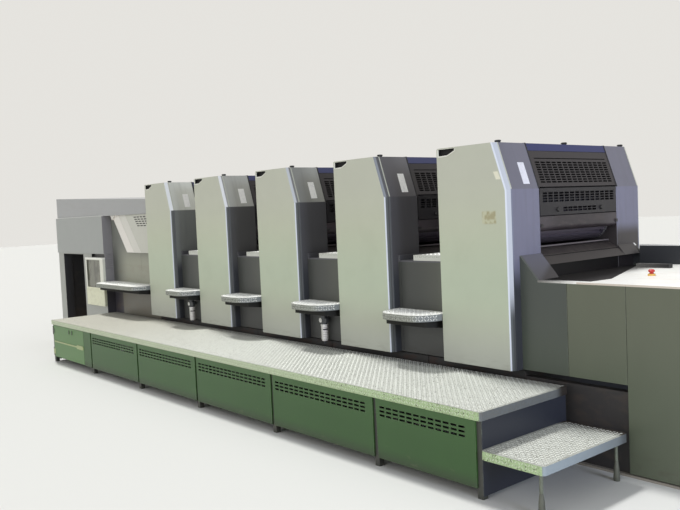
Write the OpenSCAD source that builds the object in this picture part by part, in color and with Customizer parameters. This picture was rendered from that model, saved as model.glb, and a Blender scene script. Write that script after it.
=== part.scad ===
// Five-unit sheet-fed offset printing press with its operator-side walkway.
// Feeder at plus X, delivery at minus X, operator side facing minus Y.
// Inside the modules X is zero on the last printing unit's feeder-side face, Y is zero on
// the outer plane of the operator-side covers, and Z is zero on the floor.

/* [Printing units] */
// Distance from one printing unit to the next
unit_pitch = 1140; // [1060:10:1300]
// Length of a unit's side cover along the press
unit_w = 620; // [560:10:680]
// Height of the units above the floor
unit_top = 2050; // [1950:10:2200]
// Height where the upright face turns into the sloped one
kink_z = 1738; // [1700:2:1800]
// How far the sloped face leans back by the top
slope_run = 103; // [60:1:160]
// Underside of the side covers
cover_bottom = 548; // [530:2:620]
// Width of the press over its side covers
press_w = 1632; // [1500:2:1800]
// Thickness of a side cover
cover_t = 40; // [30:1:60]
// Bevel along a cover's feeder-side edge
cover_bevel = 28; // [10:1:29]
// Radius of a cover's top corner on the delivery side
corner_r = 26; // [10:1:40]
// Length of the hand recess in a cover's top corner
grip_len = 146; // [100:2:180]
// Height of the hand recess
grip_h = 50; // [30:1:60]
// Width of a side housing from the outer plane of its cover
housing_w = 336; // [260:2:380]
// Depth of the recessed panels behind the covers' outer plane
recess = 96; // [80:1:140]
// Diameter of the rubber buffers on top of a unit
buffer_d = 46; // [30:1:60]

/* [Unit opening and guard] */
// Lower edge of the plate opening
mouth_z = 1284; // [1270:1:1300]
// Upper edge of the sloping apron behind the plate opening's lower edge
apron_z = 1325; // [1310:1:1335]
// How far the apron slopes back
apron_run = 80; // [60:1:90]
// Room between the apron's upper edge and the plate cylinder
cylinder_room = 26; // [20:1:40]
// Lower edge of the roller guard
roller_guard_z = 1445; // [1420:1:1460]
// Lower edge of the swinging guard
guard_z = 1553; // [1545:1:1570]
// Height of the hinge rod
guard_hinge_z = 1730; // [1720:1:1732]
// Sheet thickness of guards and sloped grille
guard_t = 14; // [8:1:20]
// Running gap beside the swinging guard
guard_gap = 6; // [5:0.5:10]
// Diameter of the guard's latch knobs
knob_d = 34; // [24:1:40]
// Height of the top cover's front strip
strip_h = 51; // [30:1:60]

/* [Grilles and louvres] */
// Width of a slot in a unit's grilles
slot_w = 53; // [40:1:56]
// Height of a slot in a unit's grilles
slot_h = 12; // [6:1:14]
// Columns of slots across a unit
slot_cols = 14; // [6:1:14]
// Distance from column to column
slot_pitch = 64; // [58:1:66]
// Rows of slots in the sloped cover
slope_rows = 9; // [2:1:9]
// Rows of slots in the swinging guard
guard_rows = 4; // [1:1:4]
// Distance from row to row
row_pitch = 18; // [15:0.5:20]
// Width of a louvre slot in the walkway panels
louvre_w = 48; // [30:1:52]
// Height of a louvre slot
louvre_h = 13; // [8:1:18]
// Distance from louvre to louvre along a panel
louvre_pitch = 60; // [54:1:80]
// Distance between the three rows of louvres
louvre_row = 26; // [20:1:34]
// Underside of the lowest row of louvres
louvre_z = 337; // [300:1:360]

/* [Cylinders] */
// Diameter of the plate and blanket cylinders
cyl_d = 270; // [240:2:276]
// Diameter of an inking roller
roller_d = 76; // [60:1:84]
// Diameter of the journals
journal_d = 50; // [40:1:60]

/* [Galleries and steps] */
// Top of the treads between the units
gallery_top = 1292; // [1280:1:1310]
// Top of the low steps
low_step_top = 883; // [850:1:920]
// Depth of a gallery tread's folded edge
tread_edge = 42; // [30:1:55]
// Depth of a low step's folded edge
low_step_edge = 47; // [30:1:55]
// Sheet thickness of the tread plate
plate_t = 6; // [4:1:8]
// How far a low step stands out from the recessed panels
low_step_out = 291; // [270:1:320]
// Width of the sunk gutter between a unit and its tread
gutter_w = 165; // [100:1:220]
// Radius of a low step's round corners
step_round = 185; // [120:5:200]
// How far the bracket under a low step reaches out
bracket_out = 206; // [150:2:220]
// Depth of the bracket below the low step's edge
bracket_drop = 44; // [30:1:60]

/* [Walkway] */
// Top of the walkway
deck_top = 500; // [460:5:520]
// Front edge of the walkway in front of the covers
deck_front = 795; // [700:5:900]
// Back edge of the walkway behind the covers' outer plane
deck_back = 48; // [20:2:60]
// Right-hand end of the walkway past the last unit
deck_end = 374; // [300:2:450]
// Depth of the walkway's folded edge
deck_edge = 50; // [40:1:60]
// Radius of the corners of walkway and entry step
deck_r = 24; // [10:1:40]
// Side of a square leg
leg_w = 40; // [30:1:50]
// Length of the bay with the door
door_bay = 1140; // [900:10:1200]
// Underside of the walkway panels
panel_bottom = 62; // [40:1:90]
// How far the end plate sits back under the walkway's end
end_recess = 8; // [6:1:20]
// Thickness of the walkway panels
skirt_t = 12; // [8:1:20]
// Diameter of the walkway door's hinge pins
door_pin_d = 8; // [6:1:12]

/* [Entry step] */
// Top of the entry step
step_top = 287; // [250:1:320]
// Length of the entry step along the press
step_len = 418; // [340:2:480]
// Back edge of the entry step behind the covers' outer plane
step_back = 20; // [10:2:40]
// Diameter of the entry step's legs
step_leg_d = 20; // [16:1:30]

/* [Feeder] */
// Far end of the feeder past the last unit
feeder_len = 2750; // [2600:10:3000]
// Top of the feeder's side panels
table_top = 1131; // [1100:1:1160]
// First panel joint past the last unit
joint_1 = 348; // [320:2:380]
// Second panel joint past the last unit
joint_2 = 748; // [700:2:800]
// Start of the pile opening past the last unit
pile_start = 1640; // [1600:10:1700]
// Length of the pile opening
pile_len = 860; // [780:10:900]
// Thickness of side panels
panel_t = 20; // [12:1:30]
// Upper end of the flare beside the last unit
flare_z = 1301; // [1290:1:1340]
// How far the flare reaches along the table
flare_x = 134; // [100:1:160]
// How far the lip below the last unit's plate opening stands out
lip_x = 60; // [40:1:80]
// How far the lip slopes down from the opening's lower edge
lip_drop = 60; // [40:1:80]
// Thickness of the white table plate
table_t = 12; // [6:1:20]
// Where the table plate's slanted edge meets its narrow front strip
slant_x = 498; // [400:2:600]
// Height of the raised cover along the drive side of the table
rail_h = 147; // [100:1:200]
// Top of the suction head's side frames
head_top = 1540; // [1480:10:1620]

/* [Delivery] */
// Length of the delivery beyond the first unit
delivery_len = 2860; // [2760:10:3000]
// Height of the delivery hood at the first unit
hood_low = 1905; // [1860:5:1950]
// Height of the delivery hood at its far end
hood_high = 2015; // [1960:5:2040]
// Underside of the delivery hood
hood_bottom = 1611; // [1560:1:1640]
// Underside of the delivery side boxes
box_bottom = 1110; // [1080:1:1140]
// Length of the delivery side boxes
box_len = 1605; // [1560:5:1700]
// Thickness of the delivery side frames
side_t = 125; // [90:1:150]
// Width of the pile opening in the delivery
mouth_w = 704; // [660:2:760]
// Post at the delivery's far end
end_post = 195; // [150:5:220]
// Post between the pile opening and the powder cabinet
mid_post = 132; // [100:2:160]
// How far the powder cabinet stands out of the side frame
cabinet_out = 20; // [10:1:60]
// Underside of the powder cabinet
cabinet_z = 560; // [500:5:600]
// Height of the powder cabinet
cabinet_h = 515; // [480:5:520]
// Gap at the hood between the side box and the sloping rise cover
rise_gap = 123; // [60:1:180]
// How far the rise cover's edge slopes towards the first unit
rise_run = 387; // [250:1:450]
// Underside of the rise covers
rise_bottom = 1132; // [1100:1:1180]
// Width of the rise cover's bevelled band
rise_band = 440; // [200:5:500]
// Room between the delivery's side box and the low step beside it
step_room = 25; // [10:5:60]

/* [Hidden] */
unit_count = 5;
press_units = [1 : unit_count];
gap_w = unit_pitch - unit_w;
last_left = -(unit_count - 1) * unit_pitch - unit_w;
press_left = last_left - delivery_len;
press_right = feeder_len;
centre_x = (press_left + press_right) / 2;
centre_y = (press_w - deck_front) / 2;
mid_y = press_w / 2;
step_left = deck_end - end_recess;
cabinet_left = press_left + end_post + mouth_w + mid_post;
box_right = press_left + box_len;
feeder_in = recess + panel_t;
wall_t = 60;
seat = 0.3;
seam = 3;
skirt_y = -deck_front + 8;
base_y = recess + 24;
strip_z = unit_top - strip_h;
housing_bevel = 6;
bevel_step = 0.5;
bevel_reach = 800;
hinge_x = -10;
rod_d = 12;
hinge_leaf = 8;
cover_lip_z = guard_hinge_z + hinge_leaf + 10;
grille_rise = 37;
slit_drop = 57;
slit_len = 880;
guard_grille_rise = 90;
latch_rise = 37;
latch_grille_rise = 21;
latch_reach = 270;
plate_x = -60 - cyl_d / 2;
plate_z = apron_z + cylinder_room + cyl_d / 2;
form_angles = [76, 106, 136, 166];
slope_angle = atan(slope_run / (unit_top - kink_z));
tread_x = -unit_pitch + gutter_w;
bracket_t = 8;
bracket_x = 60;
regulator_x = 250;
regulator_z = 523;
leg_inset = 60;
cleat_t = 5;
rail_depth = 36;
sucker_drop = 150;
hood_y = 25;
post_in = 12;
door_strip = 186;
skirt_lap = 6;
skew = 14;
door_hinges = [130, 380];
door_pin_x = leg_x(6) + 8;
door_pin_y = skirt_y + 2;
back_leg_y = deck_back - 40;
drive_louvre_z = 400;
function leg_x(i) = i == 0 ? step_left - 4 - leg_w / 2 : (i == 6 ? leg_x(5) - door_bay :
    -508 - (i - 1) * unit_pitch);
function slope_x(z) = -(z - kink_z) * slope_run / (unit_top - kink_z);
function along_slope(z) = (z - kink_z) / cos(slope_angle);
function louvre_cols(width) = floor((width - 75) / louvre_pitch);
$fn = 48;

// Moves a piece from the working origin to the middle of the press
module place() translate([-centre_x, -centre_y, 0]) children();
// Moves a piece from the last unit to unit n
module on_unit(n) translate([-(unit_count - n) * unit_pitch, 0, 0]) children();
// Extrudes an outline drawn in X and Z from y0 to y1
module across(y0, y1) translate([0, y1, 0]) rotate([90, 0, 0]) linear_extrude(y1 - y0) children();
// Extrudes an outline drawn in Y and Z from x0 to x1
module along(x0, x1) translate([x0, 0, 0]) rotate([90, 0, 90]) linear_extrude(x1 - x0) children();
// Repeats a piece on the drive side
module both_sides() {
    children();
    drive_side() children();
}
module drive_side() translate([0, press_w, 0]) mirror([0, 1, 0]) children();
// Box given by its two corners
module block(a, b) translate(a) cube(b - a);
// Round bar along Y from y0 to y1
module bar(x, z, d, y0, y1) translate([x, y0, z]) rotate([-90, 0, 0]) cylinder(h = y1 - y0, d = d);

// Rows of slots, centred on zero sideways and rising from zero
module slots(cols, rows, pitch, rise, w, h) for (c = [0 : cols - 1]) for (r = [0 : rows - 1])
    translate([(c - (cols - 1) / 2) * pitch - w / 2, r * rise]) square([w, h]);

// Rectangle from corner a to corner b with round corners
module soft_rect(a, b, r) {
    translate([a[0] + r, a[1]]) square([b[0] - a[0] - 2 * r, b[1] - a[1]]);
    translate([a[0], a[1] + r]) square([b[0] - a[0], b[1] - a[1] - 2 * r]);
    for (x = [a[0] + r, b[0] - r]) for (y = [a[1] + r, b[1] - r]) translate([x, y]) circle(r);
}

// Folded tread plate with round corners, open underneath
module tread_tray(a, b, top, edge) difference() {
    translate([0, 0, top - edge]) linear_extrude(edge) soft_rect(a, b, deck_r);
    translate([0, 0, top - edge - 1]) linear_extrude(edge - plate_t + 1)
        soft_rect(a + [plate_t, plate_t], b - [plate_t, plate_t], deck_r - plate_t);
}

module unit_outline() polygon([
    [-unit_w, cover_bottom], [0, cover_bottom], [0, kink_z],
    [-slope_run, unit_top], [-unit_w, unit_top]]);

// Wedge that takes the corner off a cover's edge
module edge_wedge(size, length) linear_extrude(length)
    polygon([[-size - 5, -5], [5, -5], [5, size + 5]]);

// Side cover with bevelled edges, a round top corner and the hand recess beside it. The bevel
// is a hair wider up the slope, so that the two bevels end on a clean edge at the kink.
module side_cover() difference() {
    across(0, cover_t) difference() {
        unit_outline();
        translate([-unit_w, unit_top]) difference() {
            translate([-1, -corner_r]) square(corner_r + 1);
            translate([corner_r, -corner_r]) circle(corner_r);
        }
    }
    translate([0, 0, cover_bottom - 50]) edge_wedge(cover_bevel, unit_top);
    translate([0, 0, kink_z]) rotate([0, -slope_angle, 0])
        translate([0, 0, -200]) edge_wedge(cover_bevel + bevel_step, bevel_reach);
    translate([-unit_w, 0, cover_bottom - 50]) mirror([1, 0, 0]) edge_wedge(8, unit_top);
    translate([-unit_w + corner_r - 4, 0, unit_top - 4 - grip_h]) {
        across(-1, 5) polygon([[-6, -9], [grip_len * 0.55, -7], [grip_len + 9, grip_h * 0.5],
            [grip_len + 8, grip_h], [-6, grip_h]]);
        across(4, cover_t - 8) polygon([[0, 0], [grip_len * 0.55, 3],
            [grip_len - 3, grip_h * 0.6], [grip_len, grip_h - 4], [0, grip_h - 4]]);
    }
}

module unit_covers(n) place() on_unit(n) color("#aeb4a0") both_sides() side_cover();

// Gear and motor housing with a chamfered inner edge and a rubber buffer on top
module unit_housings(n) place() on_unit(n) color("#55575c") both_sides() {
    difference() {
        across(cover_t, housing_w) unit_outline();
        translate([0, housing_w, 0]) mirror([0, 1, 0]) {
            translate([0, 0, cover_bottom - 50]) edge_wedge(housing_bevel, unit_top);
            translate([0, 0, kink_z]) rotate([0, -slope_angle, 0])
                translate([0, 0, -200]) edge_wedge(housing_bevel + bevel_step, bevel_reach);
        }
    }
    translate([-slope_run - buffer_d / 2 + 4, cover_t + 24, unit_top]) buffer();
}

module buffer() rotate_extrude()
    polygon([[0, 0], [buffer_d / 2 - 5, 0], [buffer_d / 2 - 5, 6], [buffer_d / 2, 8],
        [buffer_d / 2 - 2, 14], [buffer_d / 2 - 8, 17], [0, 17]]);

// Middle of a unit: closed base with its sloping apron, back wall and the guard's hinge rod
module unit_frame(n) place() on_unit(n) {
    color("#3c3a3a") across(housing_w, press_w - housing_w) polygon([
        [-unit_w, cover_bottom], [0, cover_bottom], [0, mouth_z], [-apron_run, apron_z],
        [-unit_w + wall_t, apron_z], [-unit_w + wall_t, strip_z], [-unit_w, strip_z]]);
    color("#8a8c90") {
        bar(hinge_x, guard_hinge_z, rod_d, housing_w, press_w - housing_w);
        bar(-apron_run, apron_z + 14, rod_d, housing_w, press_w - housing_w);
    }
}

// Roof and sloped front with the long slit and the rows of slots
module sloped_covers() place() for (n = press_units) on_unit(n) color("#3a3838") {
    y0 = housing_w + seat;
    y1 = press_w - housing_w - seat;
    difference() {
        across(y0, y1) polygon([[-unit_w, strip_z], [slope_x(strip_z) - guard_t, strip_z],
            [slope_x(cover_lip_z) - guard_t, cover_lip_z], [slope_x(cover_lip_z), cover_lip_z],
            [-slope_run, unit_top], [-unit_w, unit_top]]);
        translate([0, mid_y, kink_z]) rotate([0, -slope_angle, 0]) {
            along(-5, 1) translate([-press_w / 2, along_slope(strip_z - seam)])
                square([press_w, seam]);
            along(-guard_t - 9, 1) translate([-slit_len / 2, along_slope(strip_z - slit_drop)])
                square([slit_len, 7]);
            along(-guard_t - 9, 1) translate([0, along_slope(kink_z + grille_rise)])
                slots(slot_cols, slope_rows, slot_pitch, row_pitch, slot_w, slot_h);
        }
    }
    translate([-slope_run - buffer_d / 2 + 4, mid_y, unit_top]) buffer();
}

// Swinging guard hung from the hinge rod by two rolled knuckles, with a thin leaf in front of
// the rod, grilles and latch knobs
module unit_guard(n) place() on_unit(n) color("#3a3838") difference() {
    y0 = housing_w + guard_gap;
    y1 = press_w - housing_w - guard_gap;
    face_x = hinge_x + guard_t / 2;
    union() {
        block([face_x - guard_t, y0, guard_z], [face_x, y1, guard_hinge_z - 10]);
        block([face_x - 3, y0, guard_hinge_z - 14], [face_x + 3, y1, guard_hinge_z + hinge_leaf]);
        block([face_x - guard_t - 10, y0, guard_z], [face_x, y1, guard_z + 4]);
        for (y = [y0 + 60, y1 - 180]) bar(hinge_x, guard_hinge_z, rod_d + 10, y, y + 120);
        for (side = [-1, 1]) translate([face_x, mid_y + side * latch_reach, guard_z + latch_rise])
            rotate([0, 90, 0]) rotate_extrude() polygon([[0, 0], [knob_d / 2 - 4, 0],
                [knob_d / 2 - 4, 4], [knob_d / 2, 6], [knob_d / 2 - 3, 12], [0, 12]]);
    }
    bar(hinge_x, guard_hinge_z, rod_d + 2 * seat, housing_w, press_w - housing_w);
    translate([0, mid_y, guard_z]) along(face_x - guard_t - 1, face_x + 1) {
        translate([0, guard_grille_rise])
            slots(slot_cols, guard_rows, slot_pitch, row_pitch, slot_w, slot_h + 1);
        translate([0, latch_grille_rise])
            slots(slot_cols / 2, 2, slot_pitch - 4, row_pitch, slot_w, slot_h + 1);
    }
}

// Rounded sheet over the plate rollers, with a latch block at each end
module roller_guards() place() color("#4a4038") for (n = press_units) on_unit(n) {
    bend_r = 40;
    sheet = 8;
    across(housing_w, press_w - housing_w) {
        translate([-4 - bend_r, roller_guard_z + bend_r]) intersection() {
            difference() {
                circle(bend_r);
                circle(bend_r - sheet);
            }
            translate([0, -bend_r]) square(bend_r);
        }
        translate([-4 - sheet, roller_guard_z + bend_r])
            square([sheet, guard_z - guard_gap - roller_guard_z - bend_r]);
        translate([-40, guard_z - guard_gap - sheet]) square([36, sheet]);
    }
    for (y = [housing_w + 2, press_w - housing_w - 26])
        block([-5, y, roller_guard_z + 30], [6, y + 24, roller_guard_z + 52]);
}

// Plate cylinders with bearer rings, journals and the groove that holds the plate's edges
module cylinders() place() color("#9a9ca0") for (n = press_units) on_unit(n) {
    y0 = housing_w + 25;
    y1 = press_w - housing_w - 25;
    bar(plate_x, plate_z, journal_d, housing_w, press_w - housing_w);
    difference() {
        bar(plate_x, plate_z, cyl_d, y0, y1);
        for (y = [y0 + 30, y1 - 36]) difference() {
            bar(plate_x, plate_z, cyl_d + 2, y, y + 6);
            bar(plate_x, plate_z, cyl_d - 8, y - 1, y + 7);
        }
        translate([plate_x, 0, plate_z]) rotate([0, 35, 0])
            block([cyl_d / 2 - 22, y0 + 40, -16], [cyl_d / 2 + 1, y1 - 40, 16]);
    }
}

// Form rollers round the plate cylinder, with the distribution rollers behind them
module ink_rollers() place() color("#2c2f36") for (n = press_units) on_unit(n)
    for (ring = [0, 1]) for (a = form_angles)
        let (reach = cyl_d / 2 + roller_d / 2 + 2 + ring * (roller_d + 6), turn = a - 6 * ring)
            translate([plate_x + reach * cos(turn), 0, plate_z + reach * sin(turn)]) {
                bar(0, 0, roller_d, housing_w + 25, press_w - housing_w - 25);
                bar(0, 0, min(journal_d, roller_d - 20), housing_w, press_w - housing_w);
            }

// One long base with a groove where each unit's casting meets the next
module unit_bases() place() color("#3a3b3c") difference() {
    block([last_left, base_y, 0], [0, press_w - base_y, cover_bottom - 12]);
    both_sides() for (n = [2 : unit_count]) on_unit(n)
        block([-unit_pitch + gap_w / 2 - 3, base_y - 1, -1],
            [-unit_pitch + gap_w / 2 + 3, base_y + 8, cover_bottom]);
}

// Panels and sunk gutters between the units, with louvred lower panels on the drive side
module recessed_panels() place() color("#6d7063") {
    floor_z = gallery_top - tread_edge;
    for (n = [2 : unit_count]) on_unit(n) {
        both_sides() difference() {
            block([-unit_pitch, recess, cover_bottom], [-unit_w, recess + panel_t, floor_z]);
            block([-unit_pitch + 25, recess - 1, cover_bottom - 1],
                [-unit_pitch + 25 + seam, recess + 4, floor_z + 1]);
        }
        block([-unit_pitch, recess + panel_t, floor_z - 6],
            [tread_x, press_w - recess - panel_t, floor_z]);
        block([-unit_pitch, recess, floor_z], [-unit_pitch + 16, housing_w, gallery_top - 4]);
    }
    drive_side() for (n = press_units) on_unit(n) difference() {
        width = n == 1 ? unit_w : unit_pitch - seam;
        block([-width, base_y - panel_t, 30], [0, base_y, cover_bottom - 12]);
        translate([-width / 2, 0, drive_louvre_z]) across(base_y - panel_t - 1, base_y + 1)
            slots(louvre_cols(width), 3, louvre_pitch, louvre_row, louvre_w, louvre_h);
    }
}

module gallery_treads() place() color("#c3c3bc") for (n = [2 : unit_count]) on_unit(n)
    difference() {
        block([tread_x + seat, recess, gallery_top - tread_edge],
            [-unit_w, press_w - recess, gallery_top]);
        block([tread_x + seat + plate_t, recess + plate_t, gallery_top - tread_edge - 1],
            [-unit_w + 1, press_w - recess - plate_t, gallery_top - plate_t]);
    }

// Plan of a low step with two round front corners, cut off at its back, and shrunk by inset
module low_step_plan(length, depth, inset) intersection() {
    soft_rect([inset, inset - depth], [length - inset, 2 * step_round], step_round - inset);
    translate([-1, -depth - 1]) square([length + 2, depth + 1 + inset]);
}

// Folded tread tray on a dark angle bracket with two gussets
module low_step(length, depth) {
    under = low_step_top - plate_t;
    bracket_z = low_step_top - low_step_edge - bracket_drop;
    bracket_y = depth - low_step_out + bracket_out;
    difference() {
        translate([0, 0, low_step_top - low_step_edge]) linear_extrude(low_step_edge)
            low_step_plan(length, depth, 0);
        translate([0, 0, low_step_top - low_step_edge - 1])
            linear_extrude(low_step_edge - plate_t + 1)
                low_step_plan(length, depth, plate_t);
    }
    block([bracket_x, -bracket_y, bracket_z], [length - bracket_x, bracket_t - bracket_y, under]);
    for (x = [bracket_x, length - bracket_x - bracket_t]) along(x, x + bracket_t)
        polygon([[0, under], [0, bracket_z - 26], [bracket_t - bracket_y, bracket_z],
            [bracket_t - bracket_y, under]]);
}

module low_steps() place() color("#bdbdb5") {
    for (n = [2 : unit_count]) on_unit(n) translate([-unit_pitch + seat, recess, 0])
        low_step(gap_w - 2 * seat, low_step_out);
    translate([box_right + step_room, side_t, 0])
        low_step(last_left - seat - box_right - step_room, low_step_out + side_t - recess);
}

// Filter regulators: bracket, head with knob, gauge and turned bowl
module air_regulators() place() for (n = [2, 4]) on_unit(n)
    translate([-unit_pitch + regulator_x, recess, regulator_z]) {
        axis_y = -44;
        color("#26282c") {
            block([-14, axis_y, 193], [14, 0, 221]);
            translate([0, axis_y, 165]) cylinder(h = 78, d = 52);
            block([-46, axis_y - 16, 183], [46, axis_y + 16, 217]);
            translate([0, axis_y, 243]) cylinder(h = 22, d = 36);
            translate([-18, axis_y - 16, 200]) rotate([90, 0, 0]) cylinder(h = 12, d = 40);
        }
        color("#c8c8c4") translate([0, axis_y, 0]) rotate_extrude() polygon([
            [0, 0], [8, 0], [8, 14], [22, 20], [29, 34], [29, 150], [32, 154], [32, 165], [0, 165]]);
    }

module walkway_deck() place() color("#c2c2ba")
    tread_tray([leg_x(6) - leg_w / 2 - 4 - end_recess, -deck_front], [deck_end, deck_back],
        deck_top, deck_edge);

// Legs with cross beams and back brackets, and the door's hinge pins
module walkway_frame() place() color("#2e302e") {
    leg_top = deck_top - plate_t;
    front_y = skirt_y + skirt_t + leg_w / 2;
    for (i = [0 : 6]) {
        for (y = [front_y, back_leg_y]) block([leg_x(i) - leg_w / 2, y - leg_w / 2, 0],
            [leg_x(i) + leg_w / 2, y + leg_w / 2, leg_top]);
        block([leg_x(i) - 15, front_y + leg_w / 2, leg_top - 40],
            [leg_x(i) + 15, back_leg_y - leg_w / 2, leg_top]);
    }
    for (i = [1 : 5]) block([leg_x(i) - 15, back_leg_y + leg_w / 2, 380],
        [leg_x(i) + 15, base_y, 420]);
    for (z = door_hinges) {
        translate([door_pin_x, door_pin_y, z - 46]) cylinder(h = 92, d = door_pin_d);
        for (side = [-1, 1]) translate([0, 0, z + side * 42 - 4])
            block([door_pin_x - 8, door_pin_y - 6, 0],
                [door_pin_x + 8, skirt_y + skirt_t, 8]);
    }
}

// Louvred sheet with folded edges behind it, its lower left corner pushed in by lean
module skirt_panel(x0, x1, lean) difference() {
    outline = [[x0 + lean, panel_bottom], [x1, panel_bottom], [x1, deck_top - plate_t],
        [x0, deck_top - plate_t]];
    across(skirt_y, skirt_y + skirt_t) polygon(outline);
    across(skirt_y + 3, skirt_y + skirt_t + 1) polygon([
        outline[0] + [20, 20], outline[1] + [-20, 20], outline[2] + [-20, -20],
        outline[3] + [20, -20]]);
    translate([(x0 + x1) / 2 - 20, 0, louvre_z]) across(skirt_y - 1, skirt_y + 4)
        slots(louvre_cols(x1 - x0), 3, louvre_pitch, louvre_row, louvre_w, louvre_h);
}

// Skirt panels between the front legs, the end plates and the fixed strip beside the door
module walkway_panels() place() {
    color("#46693f") for (i = [0 : 4]) skirt_panel(leg_x(i + 1) + leg_w / 2 - skirt_lap,
        leg_x(i) - leg_w / 2 + skirt_lap, i == 0 ? skew : 0);
    color("#46693f") block([leg_x(5) - leg_w / 2 - door_strip, skirt_y, panel_bottom],
        [leg_x(5) - leg_w / 2 + skirt_lap, skirt_y + skirt_t, deck_top - plate_t]);
    color("#3c4050") {
        block([step_left - 4, -deck_front + 20, 20], [step_left, deck_back - 20,
            deck_top - plate_t]);
        block([leg_x(6) - leg_w / 2 - 4, -deck_front + 20, 20],
            [leg_x(6) - leg_w / 2, deck_back - 20, deck_top - plate_t]);
    }
}

// Door in the walkway's end bay: knuckles on the leg's pins, pull bar, latch and two hooks
module walkway_door() place() color("#46693f") difference() {
    x0 = leg_x(6) + leg_w / 2 + 6;
    x1 = leg_x(5) - leg_w / 2 - door_strip - 6;
    top = deck_top - deck_edge - 6;
    mid = (panel_bottom + top) / 2;
    union() {
        block([x0, skirt_y, panel_bottom + 6], [x1, skirt_y + skirt_t, top]);
        across(skirt_y - 6, skirt_y) {
            translate([x0 + 20, mid - 8]) square([x1 - x0 - 20, 16]);
            translate([x1 - 190, mid - 22]) soft_rect([0, 0], [180, 44], 8);
            for (x = [x1 - 420, x1 - 330]) translate([x, top - 70]) square([16, 46]);
        }
        for (z = door_hinges) {
            translate([door_pin_x, door_pin_y, z - 30]) cylinder(h = 60, d = door_pin_d + 6);
            block([door_pin_x, skirt_y - 3, z - 30], [door_pin_x + 50, skirt_y + 1, z + 30]);
        }
    }
    for (z = door_hinges) translate([door_pin_x, door_pin_y, z - 46])
        cylinder(h = 92, d = door_pin_d + 2 * seat);
}

module entry_step() place() color("#c2c2ba")
    tread_tray([step_left, -deck_front], [step_left + step_len, step_back], step_top, deck_edge);

// Two thin tube legs that widen into a sleeve near the floor, and an angle cleat on the end
// plate that carries the step's other end
module entry_step_legs() place() color("#8f918a") {
    under = step_top - deck_edge;
    for (y = [-deck_front + 55, step_back - 30])
        translate([step_left + step_len - leg_inset, y, 0]) rotate_extrude()
            polygon([[0, 0], [step_leg_d * 0.9, 0], [step_leg_d * 0.95, 24],
                [step_leg_d * 0.8, 78], [step_leg_d / 2, 124], [step_leg_d / 2, step_top - plate_t],
                [0, step_top - plate_t]]);
    across(-deck_front + 60, deck_back - 80) polygon([[step_left, under],
        [step_left + 30, under], [step_left + 30, under - cleat_t],
        [step_left + cleat_t, under - cleat_t], [step_left + cleat_t, under - 30],
        [step_left, under - 30]]);
}

// Flared hood over the place where the sheet enters the last unit: a long flare on the operator
// side, the lip below the plate opening, and a short flare on the drive side
module infeed_hood() place() color("#5c5d66") {
    flare_t = 24;
    lip_z = mouth_z - lip_drop;
    across(feeder_in, housing_w) polygon([[0, flare_z],
        [flare_x, table_top + table_t], [flare_x - flare_t, table_top + table_t],
        [0, flare_z - flare_t - 5]]);
    across(housing_w, press_w - housing_w) polygon([[0, mouth_z - 8], [8, mouth_z - 8],
        [lip_x, lip_z], [lip_x - flare_t + 4, lip_z], [0, mouth_z - 20]]);
    across(press_w - housing_w, press_w - feeder_in) polygon([[0, flare_z], [lip_x, lip_z],
        [lip_x - flare_t + 4, lip_z], [0, flare_z - flare_t - 5]]);
}

// Flat side panels, and the raised cover along the drive side of the table
module feeder_panels() place() color("#62645a") {
    both_sides() across(recess, feeder_in) {
        polygon([[0, cover_bottom], [joint_1, cover_bottom], [joint_1, table_top],
            [flare_x, table_top], [flare_x, table_top + table_t], [0, flare_z]]);
        translate([joint_1 + seam, cover_bottom])
            square([joint_2 - joint_1 - 2 * seam, table_top - cover_bottom]);
        translate([joint_2, 20]) square([pile_start - joint_2, table_top - 20]);
        translate([pile_start + pile_len, 20])
            square([feeder_len - pile_start - pile_len, table_top - 20]);
    }
    drive_side() across(recess, recess + rail_depth) polygon([
        [lip_x + seat, table_top + table_t], [pile_start - 120, table_top + table_t],
        [pile_start - 160, table_top + table_t + rail_h],
        [lip_x + seat, table_top + table_t + rail_h]]);
}

// Lower side walls, end posts, top rails that carry the suction head, and the floor plinth
module feeder_base() place() color("#2b2b2d") both_sides() {
    block([0, feeder_in, 0], [feeder_len, feeder_in + wall_t, 500]);
    block([pile_start + pile_len, feeder_in, 500],
        [feeder_len, feeder_in + wall_t, table_top]);
    block([pile_start - 90, feeder_in, 500],
        [pile_start, feeder_in + wall_t, table_top - 19]);
    block([pile_start, feeder_in, table_top - 90], [pile_start + pile_len,
        feeder_in + wall_t, table_top]);
    block([joint_1, recess - 6, 0], [feeder_len, feeder_in, 14]);
}

// Dark board under the white table plate with its slanted edge, a black stop bar and a
// push button on the plate
module feed_board() place() {
    plate_top = table_top + table_t;
    near_strip = recess + 64;
    color("#2a2a2c") block([0, feeder_in, table_top - 19],
        [pile_start, press_w - feeder_in, table_top]);
    color("#dedcd4") translate([0, 0, table_top]) linear_extrude(table_t) polygon([
        [flare_x + seat, recess], [pile_start, recess], [pile_start, press_w - recess],
        [flare_x + seat, press_w - recess], [flare_x + seat, press_w - housing_w + 30],
        [slant_x, housing_w + 30], [slant_x - 20, near_strip], [flare_x + seat, near_strip]]);
    color("#1c1c1e") block([flare_x + 80, press_w - 460, plate_top],
        [flare_x + 326, press_w - 408, plate_top + 28]);
    color("#b02820") translate([616, 642, plate_top]) rotate_extrude() polygon([
        [0, 0], [24, 0], [24, 12], [13, 14], [13, 22], [20, 26], [20, 36], [12, 41], [0, 42]]);
}

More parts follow.
